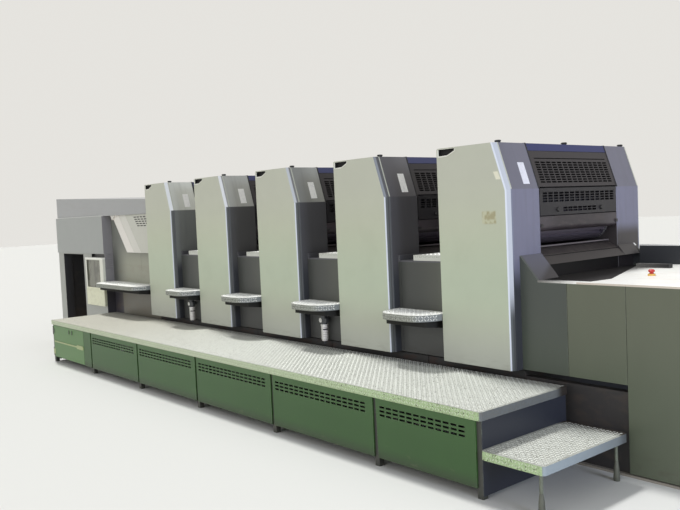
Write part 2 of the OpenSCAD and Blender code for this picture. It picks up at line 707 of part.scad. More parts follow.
// Suction head with its suckers on two bars between the curved side frames
module suction_head() place() color("#74777c") {
    head_x = pile_start + 150;
    bar_z = head_top - 70;
    both_sides() across(feeder_in, feeder_in + wall_t) difference() {
        translate([pile_start, table_top]) square([360, head_top - table_top]);
        translate([pile_start + 360, table_top + 30]) circle(230);
        translate([pile_start - 1, head_top + 1]) difference() {
            translate([0, -60]) square(60);
            translate([60, -60]) circle(60);
        }
    }
    for (spot = [[pile_start + 50, bar_z], [head_x + 180, head_top - 30]])
        bar(spot[0], spot[1], 34, feeder_in + wall_t, press_w - feeder_in - wall_t);
    difference() {
        across(mid_y - 190, mid_y + 190) polygon([[pile_start + 30, bar_z - 60],
            [head_x + 200, bar_z - 60], [head_x + 200, head_top - 8], [head_x + 60, head_top],
            [pile_start + 30, bar_z + 40]]);
        for (y = [mid_y - 60, mid_y + 60]) block([pile_start, y - 4, bar_z + 30],
            [head_x + 260, y + 4, head_top + 1]);
    }
    for (y = [mid_y - 150, mid_y - 60, mid_y + 60, mid_y + 150])
        translate([head_x + 150, y, bar_z - sucker_drop]) rotate_extrude() polygon([
            [0, 0], [18, 0], [12, 18], [9, 24], [9, 90], [0, 90]]);
}

// Planked pile boards of feeder and delivery, hung between chain rails on the side walls
module pile_boards() place() color("#8c7a5c") {
    chained_board(pile_start - 40, pile_start + pile_len + 40, feeder_in + wall_t,
        table_top - 100);
    chained_board(press_left + end_post - 40, press_left + end_post + mouth_w + 40, side_t,
        hood_bottom);
}
module chained_board(x0, x1, wall_in, rail_top) {
    rail_w = 24;
    rail_t = 12;
    board_z = 150;
    board_t = 40;
    difference() {
        block([x0, wall_in + rail_t, board_z], [x1, press_w - wall_in - rail_t, board_z + board_t]);
        for (i = [1 : 5]) block([x0 - 1, 0, board_z + board_t - 5] + [0, i * press_w / 6, 0],
            [x1 + 1, 6, board_z + board_t + 1] + [0, i * press_w / 6, 0]);
    }
    both_sides() for (x = [x0, x1 - rail_w])
        block([x, wall_in, 60], [x + rail_w, wall_in + rail_t, rail_top]);
}

// Hood that rises towards the far end, with a thin ledge along its lower edge
module delivery_hood() place() color("#8d8f93") {
    across(hood_y, press_w - hood_y) polygon([[press_left, hood_bottom],
        [last_left, hood_bottom], [last_left, hood_low], [press_left, hood_high]]);
    both_sides() block([press_left + 40, hood_y - 14, hood_bottom],
        [box_right, hood_y, hood_bottom + 7]);
}

// Side frames with the pile openings, a vent over the cabinet and louvred ends, and the wall
// between pile and chain rise
module delivery_side_frames() place() color("#85888a") {
    both_sides() difference() {
        across(0, side_t) translate([press_left, 0]) difference() {
            square([box_len, hood_bottom]);
            translate([end_post, -1]) square([mouth_w, box_bottom - 24 + 1]);
        }
        block([press_left - 1, -1, -1], [box_right + 1, post_in, box_bottom]);
        block([cabinet_left + 150, -1, cabinet_z + cabinet_h + 6],
            [box_right - 6, 40, box_bottom - 4]);
        for (i = [0 : 6]) block([box_right - 5, 14, 930 + i * 26],
            [box_right + 1, side_t - 14, 936 + i * 26]);
    }
    block([box_right - wall_t, side_t, 20], [box_right, press_w - side_t, hood_bottom]);
}

// Sloping covers over the chain rise, with a bevelled band, slots and a peephole, and the
// plain panels below them
module delivery_rise_covers() place() color("#c3c0b6") both_sides() {
    top_x = box_right + rise_gap;
    lean = atan(rise_run / (hood_bottom - rise_bottom));
    slot_x = last_left - 130;
    difference() {
        across(side_t / 2, side_t) polygon([[top_x, hood_bottom],
            [top_x + rise_run, rise_bottom], [last_left, rise_bottom],
            [last_left, hood_bottom]]);
        translate([top_x + rise_band, side_t / 2, hood_bottom]) rotate([0, -lean, 0])
            rotate([0, 0, -4]) block([-2 * rise_band, -60, -800], [0, 0, 200]);
        for (reach = [rise_band, rise_band / 2])
            translate([top_x + reach, side_t / 2, hood_bottom]) rotate([0, -lean, 0])
                block([-1, -1, -800], [2, 3 + (reach < rise_band ? 18 : 0), 200]);
        for (r = [0 : 4]) translate([slot_x - 170 + r * 22, 0, hood_bottom - 42 - r * 27])
            across(side_t / 2 - 1, side_t / 2 + 9) slots(4, 1, 84, 0, 66, 12);
        block([last_left - 60, side_t / 2 - 1, hood_bottom - 188],
            [last_left - 30, side_t / 2 + 9, hood_bottom - 170]);
        block([last_left - 300, side_t / 2 - 1, hood_bottom - 226],
            [last_left + 1, side_t / 2 + 3, hood_bottom - 226 + seam]);
    }
    difference() {
        block([box_right, side_t, 20], [last_left, side_t + panel_t, hood_bottom]);
        block([last_left - 452, side_t - 1, low_step_top],
            [last_left - 452 + seam, side_t + 4, rise_bottom]);
    }
}

// Cabinet with a sunk window over a plain door
module powder_cabinet() place() color("#d8d6c4") difference() {
    right = box_right - 4;
    top = cabinet_z + cabinet_h;
    frame_w = 42;
    window_z = cabinet_z + cabinet_h * 0.46;
    block([cabinet_left, -cabinet_out, cabinet_z], [right, post_in, top]);
    block([cabinet_left + frame_w, -cabinet_out - 1, window_z],
        [right - 2.4 * frame_w, -cabinet_out + 16, top - frame_w * 0.7]);
    block([cabinet_left + 8, -cabinet_out - 1, window_z - frame_w],
        [right - 8, -cabinet_out + 3, window_z - frame_w + seam]);
}

unit_frame(1);  // unit_1_frame
unit_frame(2);  // unit_2_frame
unit_frame(3);  // unit_3_frame
unit_frame(4);  // unit_4_frame
unit_frame(5);  // unit_5_frame
unit_housings(1);  // unit_1_housings
unit_housings(2);  // unit_2_housings
unit_housings(3);  // unit_3_housings
unit_housings(4);  // unit_4_housings
unit_housings(5);  // unit_5_housings
unit_covers(1);  // unit_1_covers
unit_covers(2);  // unit_2_covers
unit_covers(3);  // unit_3_covers
unit_covers(4);  // unit_4_covers
unit_covers(5);  // unit_5_covers
unit_guard(1);  // unit_1_guard
unit_guard(2);  // unit_2_guard
unit_guard(3);  // unit_3_guard
unit_guard(4);  // unit_4_guard
unit_guard(5);  // unit_5_guard
sloped_covers();
roller_guards();
cylinders();
ink_rollers();
unit_bases();
recessed_panels();
gallery_treads();
low_steps();
air_regulators();
walkway_deck();
walkway_frame();
walkway_panels();
walkway_door();
entry_step();
entry_step_legs();
infeed_hood();
feeder_panels();
feeder_base();
feed_board();
suction_head();
pile_boards();
delivery_hood();
delivery_side_frames();
delivery_rise_covers();
powder_cabinet();
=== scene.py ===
import math
import bpy
import numpy as np
from mathutils import Matrix, Vector


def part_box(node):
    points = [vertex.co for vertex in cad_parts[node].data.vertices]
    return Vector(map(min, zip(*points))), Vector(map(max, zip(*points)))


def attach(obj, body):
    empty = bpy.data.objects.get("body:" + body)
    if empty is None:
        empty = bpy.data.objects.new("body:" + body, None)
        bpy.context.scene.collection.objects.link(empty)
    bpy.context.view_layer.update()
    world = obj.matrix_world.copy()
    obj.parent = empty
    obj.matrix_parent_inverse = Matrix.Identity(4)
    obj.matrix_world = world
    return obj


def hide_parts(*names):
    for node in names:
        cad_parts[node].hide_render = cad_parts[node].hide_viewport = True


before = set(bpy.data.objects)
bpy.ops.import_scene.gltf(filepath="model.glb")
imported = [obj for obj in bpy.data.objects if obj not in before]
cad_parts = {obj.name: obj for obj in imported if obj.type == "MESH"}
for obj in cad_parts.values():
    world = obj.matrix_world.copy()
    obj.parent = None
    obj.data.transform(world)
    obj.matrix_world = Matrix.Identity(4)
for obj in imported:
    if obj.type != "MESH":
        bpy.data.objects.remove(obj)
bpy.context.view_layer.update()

# Where one stands to see the press: at the feeder end on the operator side, at eye height. Place,
# turn and focal length were fitted to the press's own straight edges. ORIGIN is the foot of the
# last unit's cover at its feeder-side edge, and all places below are metres from it.
cover_low, cover_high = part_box("unit_5_covers")
ORIGIN = Vector((cover_high.x, cover_low.y, 0.0))
CAMERA_AT = ORIGIN + Vector((3.1545, -4.0705, 1.6407))
YAW, PITCH, ROLL = 0.87487, 0.05537, -0.04501
SENSOR, FRAME_WIDTH, FOCAL = 36.0, 680.0, 778.57
forward = Vector((-math.sin(YAW) * math.cos(PITCH), math.cos(YAW) * math.cos(PITCH), -math.sin(PITCH)))
level_right = forward.cross(Vector((0, 0, 1))).normalized()
level_up = level_right.cross(forward)
right = math.cos(ROLL) * level_right + math.sin(ROLL) * level_up
up = math.cos(ROLL) * level_up - math.sin(ROLL) * level_right
camera = bpy.data.objects.new("camera", bpy.data.cameras.new("camera"))
camera.data.sensor_width = SENSOR
camera.data.lens = SENSOR * FOCAL / FRAME_WIDTH
camera.data.clip_end = 200.0
camera.matrix_world = Matrix.Translation(CAMERA_AT) @ Matrix((right, up, -forward)).transposed().to_4x4()
scene = bpy.context.scene
scene.collection.objects.link(camera)
scene.camera = camera
scene.view_settings.view_transform = "Standard"


# Studio: a plain pale floor, even light from all round, a broad soft lamp high on the operator
# side towards the delivery, as the hall's roof lights stand, and a weak cool one at the feeder end.
def paint(red, green, blue):
    """A colour as it is seen, 0 to 255, turned into the linear numbers that shaders use."""
    seen = np.array([red, green, blue]) / 255
    linear = np.where(seen <= 0.04045, seen / 12.92, ((seen + 0.055) / 1.055) ** 2.4)
    return (*linear.tolist(), 1.0)


world = bpy.data.worlds.new("studio")
world.use_nodes = True
scene.world = world
sky = world.node_tree
even_light = sky.nodes["Background"]
even_light.inputs["Color"].default_value = (1, 1, 1, 1)
even_light.inputs["Strength"].default_value = 0.50
backdrop = sky.nodes.new("ShaderNodeBackground")
backdrop.inputs["Color"].default_value = paint(238, 236, 231)
backdrop.inputs["Strength"].default_value = 0.92
rays = sky.nodes.new("ShaderNodeLightPath")
seen_or_mirrored = sky.nodes.new("ShaderNodeMath")
seen_or_mirrored.operation = "MAXIMUM"
seen_through = sky.nodes.new("ShaderNodeMath")
seen_through.operation = "MAXIMUM"
chooser = sky.nodes.new("ShaderNodeMixShader")
sky.links.new(rays.outputs["Is Camera Ray"], seen_or_mirrored.inputs[0])
sky.links.new(rays.outputs["Is Glossy Ray"], seen_or_mirrored.inputs[1])
sky.links.new(seen_or_mirrored.outputs[0], seen_through.inputs[0])
sky.links.new(rays.outputs["Is Transmission Ray"], seen_through.inputs[1])
sky.links.new(seen_through.outputs[0], chooser.inputs[0])
sky.links.new(even_light.outputs[0], chooser.inputs[1])
sky.links.new(backdrop.outputs[0], chooser.inputs[2])
sky.links.new(chooser.outputs[0], sky.nodes["World Output"].inputs["Surface"])

FLOOR_HALF = 60.0
floor_mesh = bpy.data.meshes.new("floor")
floor_mesh.from_pydata([(-FLOOR_HALF, -FLOOR_HALF, 0), (FLOOR_HALF, -FLOOR_HALF, 0),
                        (FLOOR_HALF, FLOOR_HALF, 0), (-FLOOR_HALF, FLOOR_HALF, 0)], [], [(0, 1, 2, 3)])
floor = bpy.data.objects.new("floor", floor_mesh)
scene.collection.objects.link(floor)
floor_material = bpy.data.materials.new("floor")
floor_material.use_nodes = True
floor_material.node_tree.nodes["Principled BSDF"].inputs["Base Color"].default_value = paint(208, 208, 204)
floor_material.node_tree.nodes["Principled BSDF"].inputs["Roughness"].default_value = 0.85
floor.data.materials.append(floor_material)


def far_lamp(name, stands, energy, angle):
    """A lamp far away in the direction where it stands, as wide as angle."""
    made = bpy.data.objects.new(name, bpy.data.lights.new(name, "SUN"))
    made.data.energy = energy
    made.data.angle = angle
    made.rotation_mode = "QUATERNION"
    made.rotation_quaternion = Vector(stands).to_track_quat("Z", "Y")
    scene.collection.objects.link(made)


far_lamp("roof_lamp", (-0.45, 0.09, 1.0), 2.5, 0.14)
far_lamp("fill_lamp", (0.25, -1.0, 0.30), 0.9, 0.9)

COOL_SIZE, COOL_POWER, COOL_SPREAD = 3.0, 43.0, 1.0
COOL_AT = ORIGIN + Vector((8.5, -1.5, 3.0))
cool = bpy.data.objects.new("cool_lamp", bpy.data.lights.new("cool_lamp", "AREA"))
cool.data.shape = "DISK"
cool.data.size = COOL_SIZE
cool.data.energy = COOL_POWER
cool.data.spread = COOL_SPREAD
cool.data.color = (0.72, 0.80, 1.0)
cool.location = COOL_AT
cool.rotation_mode = "QUATERNION"
cool.rotation_quaternion = (COOL_AT - (ORIGIN + Vector((0, 0.6, 1.2)))).to_track_quat("Z", "Y")
scene.collection.objects.link(cool)


# Machine bases: grey iron castings in black oil-proof enamel, bolted down in one line under the
# units. Oil mist and red-brown dust settle along their upper edge.
PITCH_X = cover_high.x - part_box("unit_4_covers")[1].x
UNIT_LENGTH = cover_high.x - cover_low.x


class Finish:
    """A finish worked out by a Principled shader's nodes from a place on the press: x, y and z are
    metres from ORIGIN, and unit_x runs from minus UNIT_LENGTH to zero along every printing unit."""

    def __init__(self, name, tone, roughness=0.5, metallic=0.0, **sockets):
        self.material = bpy.data.materials.new(name)
        self.material.use_nodes = True
        self.tree = self.material.node_tree
        self.shader = self.tree.nodes["Principled BSDF"]
        for socket, value in dict(sockets, Roughness=roughness, Metallic=metallic).items():
            self.shader.inputs[socket.replace("_", " ")].default_value = value
        self.roughness, self.tone, self.normal = roughness, paint(*tone), None
        spot = self.add("TexCoord", {}, "Object")
        self.place = self.add("VectorMath", {0: spot, 1: tuple(ORIGIN)}, operation="SUBTRACT")
        split = self.tree.nodes.new("ShaderNodeSeparateXYZ")
        self.tree.links.new(self.place, split.inputs[0])
        self.x, self.y, self.z = split.outputs
        self.unit_x = self.math("WRAP", self.x, PITCH_X - UNIT_LENGTH, -UNIT_LENGTH)
        facing = self.tree.nodes.new("ShaderNodeSeparateXYZ")
        self.tree.links.new(self.add("TexCoord", {}, "Normal"), facing.inputs[0])
        self.face_x, self.face_y, self.face_z = facing.outputs

    def add(self, kind, inputs, out=0, **settings):
        """A new node with its settings and inputs, each a number, a colour or another's output."""
        made = self.tree.nodes.new("ShaderNode" + kind)
        for key, value in settings.items():
            setattr(made, key, value)
        for key, value in inputs.items():
            if isinstance(value, bpy.types.NodeSocket):
                self.tree.links.new(value, made.inputs[key])
            else:
                made.inputs[key].default_value = value
        return made.outputs[out]

    def math(self, operation, a, b=0.0, c=0.0):
        return self.add("Math", {0: a, 1: b, 2: c}, operation=operation)

    def both(self, a, b):
        """1 where two masks hold, or a mask made b times as strong."""
        return self.math("MULTIPLY", a, b)

    def either(self, a, b):
        """1 where at least one of two masks holds."""
        return self.math("MAXIMUM", a, b)

    def above(self, value, edge, soft=0.002):
        """0 below edge and 1 above it, with a smooth step twice soft wide."""
        return self.add("MapRange", {"Value": value, "From Min": edge - soft, "From Max": edge + soft},
                        interpolation_type="SMOOTHSTEP")

    def below(self, value, edge, soft=0.002):
        return self.math("SUBTRACT", 1.0, self.above(value, edge, soft))

    def within(self, *bands, soft=0.002):
        """1 where every (value, low, high) of bands holds, and 0 elsewhere."""
        mask = 1.0
        for value, low, high in bands:
            inside = self.both(self.above(value, low, soft), self.below(value, high, soft))
            mask = inside if mask == 1.0 else self.both(mask, inside)
        return mask

    def noise(self, scale, detail=3.0, stretch=(1, 1, 1), low=0.0, high=1.0, rough=0.55):
        """Cloudy noise of the given number of clouds a metre, from 0 at low to 1 at high."""
        spread = self.add("VectorMath", {0: self.place, 1: stretch}, operation="MULTIPLY")
        fog = self.add("TexNoise", {"Vector": spread, "Scale": scale, "Detail": detail, "Roughness": rough})
        return self.add("MapRange", {"Value": fog, "From Min": low, "From Max": high})

    def specks(self, per_metre, share, reach=0.3):
        """1 in small specks, which stand in that share of the cells of a scattered pattern."""
        far = self.add("TexVoronoi", {"Vector": self.place, "Scale": per_metre}, "Distance")
        pick = self.add("SeparateXYZ", {0: far.node.outputs["Color"]})
        return self.both(self.below(far, reach, 0.08), self.below(pick, share, 0.02))

    def lay(self, mask, tone):
        """Lays a tone over the finish where the mask is 1."""
        colour = paint(*tone) if isinstance(tone, tuple) else tone
        self.tone = self.add("Mix", {0: mask, 6: self.tone, 7: colour}, 2, data_type="RGBA")
        return self

    def cloud(self, scale, amount, detail=3.0, stretch=(1, 1, 1)):
        """Makes the tone lighter and darker by amount, in clouds."""
        factor = self.math("MULTIPLY_ADD", self.noise(scale, detail, stretch, 0.25, 0.75),
                           2 * amount, 1 - amount)
        base = self.tone
        self.tone = self.add("VectorMath", {0: base if isinstance(base, bpy.types.NodeSocket) else base[:3],
                                            3: factor}, operation="SCALE")
        return self

    def soil(self, scale, amount, tone=(40, 38, 34), detail=4.0, stretch=(1, 1, 1), low=0.48, high=0.68,
             mask=None):
        """Dirt in patches, at most amount strong, inside the mask."""
        patches = self.both(self.noise(scale, detail, stretch, low, high), amount)
        return self.lay(patches if mask is None else self.both(patches, mask), tone)

    def matt(self, mask, change):
        """Makes the surface rougher by change where the mask is 1."""
        self.roughness = self.math("MULTIPLY_ADD", mask, change, self.roughness)
        return self

    def round_edges(self, radius, worn=None, amount=0.5, mask=None):
        """Rounds the folded and cut edges by radius in metres, and rubs the paint on them to worn
        inside the mask."""
        if self.normal is None:
            self.normal = self.add("Bevel", {"Radius": radius}, samples=4)
        if worn:
            flat = self.add("NewGeometry", {}, "True Normal")
            turn = self.add("VectorMath", {0: self.normal, 1: flat}, "Value", operation="DOT_PRODUCT")
            edge = self.add("MapRange", {"Value": turn, "From Min": 0.985, "From Max": 0.80})
            ragged = self.both(edge, self.noise(14, 3, low=0.38, high=0.62))
            worn_away = self.both(ragged, amount)
            self.lay(worn_away if mask is None else self.both(worn_away, mask), worn)
        return self

    def relief(self, height, distance, strength=1.0):
        """Raises the surface by height times distance in metres."""
        inputs = {"Height": height, "Distance": distance, "Strength": strength}
        if self.normal is not None:
            inputs["Normal"] = self.normal
        self.normal = self.add("Bump", inputs)
        return self

    def on(self, *nodes):
        """Joins the finish up and puts it on these CAD nodes."""
        for socket, value in (("Base Color", self.tone), ("Roughness", self.roughness),
                              ("Normal", self.normal)):
            if isinstance(value, bpy.types.NodeSocket):
                self.tree.links.new(value, self.shader.inputs[socket])
            elif value is not None:
                self.shader.inputs[socket].default_value = value
        for name in nodes:
            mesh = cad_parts[name].data
            mesh.materials.clear()
            mesh.materials.append(self.material)
        return self.material


def round_shading():
    """A modifier's node group that shades curved walls round and leaves edges over SHARP_TURN crisp."""
    group = bpy.data.node_groups.new("round_shading", "GeometryNodeTree")
    group.interface.new_socket("Geometry", in_out="INPUT", socket_type="NodeSocketGeometry")
    group.interface.new_socket("Geometry", in_out="OUTPUT", socket_type="NodeSocketGeometry")
    nodes, join = group.nodes, group.links.new
    start, end = nodes.new("NodeGroupInput"), nodes.new("NodeGroupOutput")
    merge = nodes.new("GeometryNodeMergeByDistance")
    merge.inputs["Distance"].default_value = 0.00002
    faces, edges = nodes.new("GeometryNodeSetShadeSmooth"), nodes.new("GeometryNodeSetShadeSmooth")
    edges.domain = "EDGE"
    turn, count = nodes.new("GeometryNodeInputMeshEdgeAngle"), nodes.new("GeometryNodeInputMeshEdgeNeighbors")
    sharp, odd, either = nodes.new("FunctionNodeCompare"), nodes.new("FunctionNodeCompare"), \
        nodes.new("FunctionNodeBooleanMath")
    sharp.data_type, sharp.operation = "FLOAT", "GREATER_THAN"
    sharp.inputs["B"].default_value = SHARP_TURN
    odd.data_type, odd.operation = "INT", "NOT_EQUAL"
    odd.inputs[3].default_value = 2
    either.operation = "OR"
    edges.inputs["Shade Smooth"].default_value = False
    join(start.outputs[0], merge.inputs["Geometry"])
    join(merge.outputs[0], faces.inputs["Geometry"])
    join(faces.outputs[0], edges.inputs["Geometry"])
    join(turn.outputs["Unsigned Angle"], sharp.inputs["A"])
    join(count.outputs[0], odd.inputs[2])
    join(sharp.outputs[0], either.inputs[0])
    join(odd.outputs[0], either.inputs[1])
    join(either.outputs[0], edges.inputs["Selection"])
    join(edges.outputs[0], end.inputs[0])
    return group


SHARP_TURN = 0.5
ROUND_SHADING = round_shading()


def shade_round(*nodes):
    for name in nodes:
        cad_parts[name].modifiers.new("round_shading", "NODES").node_group = ROUND_SHADING


BASE_TOP = 0.536
iron = Finish("base_enamel", (52, 52, 52), roughness=0.55)
iron.cloud(3, 0.10)
iron.soil(9, 0.6, (62, 44, 38), stretch=(1, 1, 3), low=0.48, high=0.62,
          mask=iron.above(iron.z, BASE_TOP - 0.07, 0.03))
iron.round_edges(0.003).relief(iron.noise(90, 4), 0.0006, 0.5)
iron.on("unit_bases")


# Middle castings of the units: dark enamelled cross members with a sloping apron under the plate
# opening and a back wall, and drawn rods across them for the guard's hinge and the mouth, the
# mouth's rod left bright.
MOUTH_Z = 1.284
units = [f"unit_{n}_" for n in range(1, 6)]
casting = Finish("casting_enamel", (64, 59, 58), roughness=0.42)
casting.cloud(4, 0.10, stretch=(1, 3, 3))
casting.soil(9, 0.35, (98, 92, 84), stretch=(1, 4, 1), mask=casting.above(casting.z, MOUTH_Z - 0.02, 0.01))
joint_line = casting.within((casting.z, 1.2745, 1.2835), (casting.unit_x, -0.004, 0.01), soft=0.0006)
# Painted shade: the unit's face below the hood's lip is painted near black, with the dark joint line above
# it.
painted_shade_under_lip = casting.within((casting.z, 1.10, 1.224), (casting.unit_x, -0.001, 0.01), soft=0.001)
casting.lay(casting.either(joint_line, painted_shade_under_lip), (20, 18, 19))
mouth_rod = casting.within((casting.z, 1.3285, 1.350), (casting.unit_x, -0.088, -0.072))
casting.lay(mouth_rod, (108, 102, 104)).matt(mouth_rod, -0.12)
# Painted shade: the back wall inside the plate opening is painted darker.
painted_shade_back_wall = casting.within((casting.z, 1.352, 1.56), (casting.unit_x, -0.40, -0.02), soft=0.006)
casting.lay(painted_shade_back_wall, (40, 36, 41))
casting.round_edges(0.003, (120, 112, 104), 0.6).relief(casting.noise(160, 2), 0.0003, 0.3)
casting.on(*[u + "frame" for u in units])
shade_round(*[u + "frame" for u in units])
casting.material.node_tree.nodes["Principled BSDF"].inputs["Specular IOR Level"].default_value = 0.4


# Plate cylinders: ground steel with chromed bearer rings and the clamp groove, each wrapped in a
# grained aluminium plate. The form rollers above them are blue-black rubber on steel journals.
chrome = Finish("ground_steel", (120, 118, 122), roughness=0.34, metallic=0.6)
chrome.cloud(6, 0.12, stretch=(1, 0.4, 1))
bearers = chrome.either(chrome.below(chrome.y, 0.398), chrome.above(chrome.y, 1.234))
chrome.lay(chrome.math("SUBTRACT", 1.0, bearers), (104, 98, 110)).matt(bearers, -0.10)
chrome.relief(chrome.noise(500, 2, stretch=(1, 0.05, 1)), 0.0002, 0.3)
chrome.on("cylinders")
rubber = Finish("roller_rubber", (34, 35, 44), roughness=0.45)
ends = rubber.either(rubber.below(rubber.y, 0.3605), rubber.above(rubber.y, 1.2715))
rubber.lay(ends, (130, 130, 134)).cloud(5, 0.2, stretch=(1, 0.3, 1)).matt(rubber.noise(12), 0.1)
rubber.on("ink_rollers")
shade_round("cylinders", "ink_rollers")


# Roller guards: a steel sheet rolled round at its lower edge and screwed on over the form rollers.
# Hands and plates have rubbed its brown paint thin in streaks, most of all near the ends.
brown = Finish("worn_brown_paint", (46, 40, 44), roughness=0.38)
brown.cloud(5, 0.14, stretch=(1, 1.2, 3))
rubbed = brown.either(brown.below(brown.y, 0.47, 0.11), brown.above(brown.y, 1.17, 0.11))
brown.lay(brown.both(rubbed, brown.below(brown.z, 1.545, 0.02)), (64, 58, 63))
brown.soil(6, 0.5, (66, 57, 58), stretch=(1, 1.5, 5), low=0.50, high=0.66)
brown.soil(26, 0.3, (96, 88, 90), stretch=(1, 1, 3), low=0.60, high=0.72)
brown.lay(brown.above(brown.unit_x, -0.0035, 0.0004), (38, 36, 38))
brown.round_edges(0.0025, (110, 102, 98), 0.6).relief(brown.noise(60, 3), 0.0004, 0.4)
brown.on("roller_guards")
shade_round("roller_guards")


# Unit housings: big folded-steel boxes over the gears and motors, in a smooth charcoal paint with
# painted light: each unit's front and slope have their own lit or shaded tone, the last unit's front is
# painted lighter and bluish, and the slopes are painted lighter on their inner half. Painted shade
# darkens the inner side walls, the gaps beside the guard and the face behind the drive-side hood flare.
# Their front edge is chamfered, and a black rubber buffer with a moulded rim stands on each roof.
KINK_Z, TOP_Z, SLOPE_RUN = 1.738, cover_high.z, 0.103
HOUSING_IN, DRIVE_Y = 0.336, cover_high.y - cover_low.y
FAR_IN = DRIVE_Y - HOUSING_IN
# Painted light: lit and shaded tones for each unit's slope, the slope's inner half and the front.
SLOPE_PAINTED_LIGHT = {1: (204, 206, 197), 2: (173, 174, 167), 3: (134, 135, 130), 4: (86, 84, 86),
               5: (106, 105, 117)}
SLOPE_INNER_PAINTED_LIGHT = {1: (226, 228, 218), 2: (179, 180, 173), 3: (166, 167, 160), 4: (106, 104, 105),
               5: (108, 107, 119)}
FRONT_PAINTED_LIGHT = {1: (116, 119, 117), 2: (80, 80, 80), 3: (77, 77, 80), 4: (75, 74, 77), 5: (114, 114, 133)}
LOW_TONE, BUFFER_TONE = (54, 56, 61), (22, 22, 24)
FRONT_FACE = (-0.001, 0.01)
for n, unit in enumerate(units, 1):
    shell = Finish(f"housing_paint_and_light_{n}", FRONT_PAINTED_LIGHT[n], roughness=0.40)
    shell.lay(shell.below(shell.z, 1.16, 0.10), LOW_TONE)
    slope = shell.above(shell.z, KINK_Z, 0.004)
    shell.lay(slope, SLOPE_PAINTED_LIGHT[n])
    shell.lay(shell.both(slope, shell.above(shell.y, 0.19, 0.13)), SLOPE_INNER_PAINTED_LIGHT[n])
    shell.cloud(2.2, 0.05, stretch=(1, 2, 0.6)).cloud(14, 0.02)
    shell.soil(5, 0.22, (86, 87, 90), stretch=(1, 5, 0.5), low=0.5, high=0.75)
    # Painted shade on the inner side walls by the plate opening.
    painted_shade_inner_walls = shell.either(shell.within((shell.y, HOUSING_IN - 0.0006, HOUSING_IN + 0.001), soft=0.0004),
                         shell.within((shell.y, FAR_IN - 0.001, FAR_IN + 0.0006), soft=0.0004))
    shell.lay(shell.both(painted_shade_inner_walls, shell.below(shell.z, TOP_Z - 0.001)), (48, 42, 44))
    drive_side = shell.within((shell.y, FAR_IN - 0.01, DRIVE_Y + 0.01))
    shell.lay(shell.both(drive_side, shell.below(shell.z, 1.425, 0.055)), (60, 56, 57))
    # Painted shade: black strips on the front face beside the guard.
    painted_shade_gaps = shell.either(shell.within((shell.y, HOUSING_IN - 0.007, HOUSING_IN + 0.001)),
                        shell.within((shell.y, FAR_IN - 0.001, FAR_IN + 0.006)))
    painted_shade_gaps = shell.both(painted_shade_gaps, shell.within((shell.z, 1.29, KINK_Z), (shell.unit_x, *FRONT_FACE), soft=0.001))
    shell.lay(painted_shade_gaps, (18, 17, 19))
    # Painted shade on the front face behind the drive-side hood flare.
    painted_shade_behind_flare = shell.within((shell.unit_x, *FRONT_FACE), (shell.y, 1.29, 1.54), (shell.z, 1.0, 1.226),
                                soft=0.001)
    shell.lay(painted_shade_behind_flare, (34, 30, 32))
    buffers = shell.above(shell.z, TOP_Z + 0.0006, 0.0004)
    shell.lay(buffers, BUFFER_TONE).matt(buffers, 0.3)
    shell.matt(shell.noise(30, 2), 0.08)
    shell.round_edges(0.0025, (150, 150, 156), 0.35).relief(shell.noise(420, 2), 0.00015, 0.25)
    shell.on(unit + "housings")
shade_round(*[u + "housings" for u in units])


def mesh_piece(name, points, faces, material, body="root", smooth=False):
    """A piece from arrays of points in metres from ORIGIN and of faces, riding on a body."""
    mesh = bpy.data.meshes.new(name)
    mesh.from_pydata((np.asarray(points) + np.array(ORIGIN)).tolist(), [], [tuple(f) for f in faces])
    mesh.materials.append(material)
    mesh.polygons.foreach_set("use_smooth", [smooth] * len(mesh.polygons))
    mesh.update()
    piece = bpy.data.objects.new(name, mesh)
    scene.collection.objects.link(piece)
    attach(piece, body)
    return piece


def sweep(profile, path, sides, closed_path=False):
    """Points and faces of a closed profile (u, v) carried along a path: each profile point stands at
    path + u * side + v * up, where sides gives the (side, up) directions at every path point."""
    profile, path = np.array(profile, float), np.array(path, float)
    side, lift = np.array(sides, float)[:, 0], np.array(sides, float)[:, 1]
    points = (path[:, None] + profile[None, :, 0, None] * side[:, None]
              + profile[None, :, 1, None] * lift[:, None])
    rings, count = points.shape[:2]
    faces = []
    for i in range(rings if closed_path else rings - 1):
        k = (i + 1) % rings
        for j in range(count):
            m = (j + 1) % count
            faces.append((i * count + j, i * count + m, k * count + m, k * count + j))
    if not closed_path:
        faces.append(tuple(range(count))[::-1])
        faces.append(tuple((rings - 1) * count + j for j in range(count)))
    return points.reshape(-1, 3), faces


def joined(parts):
    """Several (points, faces) made one."""
    points, faces, start = [], [], 0
    for part_points, part_faces in parts:
        points.append(np.asarray(part_points))
        faces += [tuple(start + i for i in face) for face in part_faces]
        start += len(part_points)
    return np.concatenate(points), faces


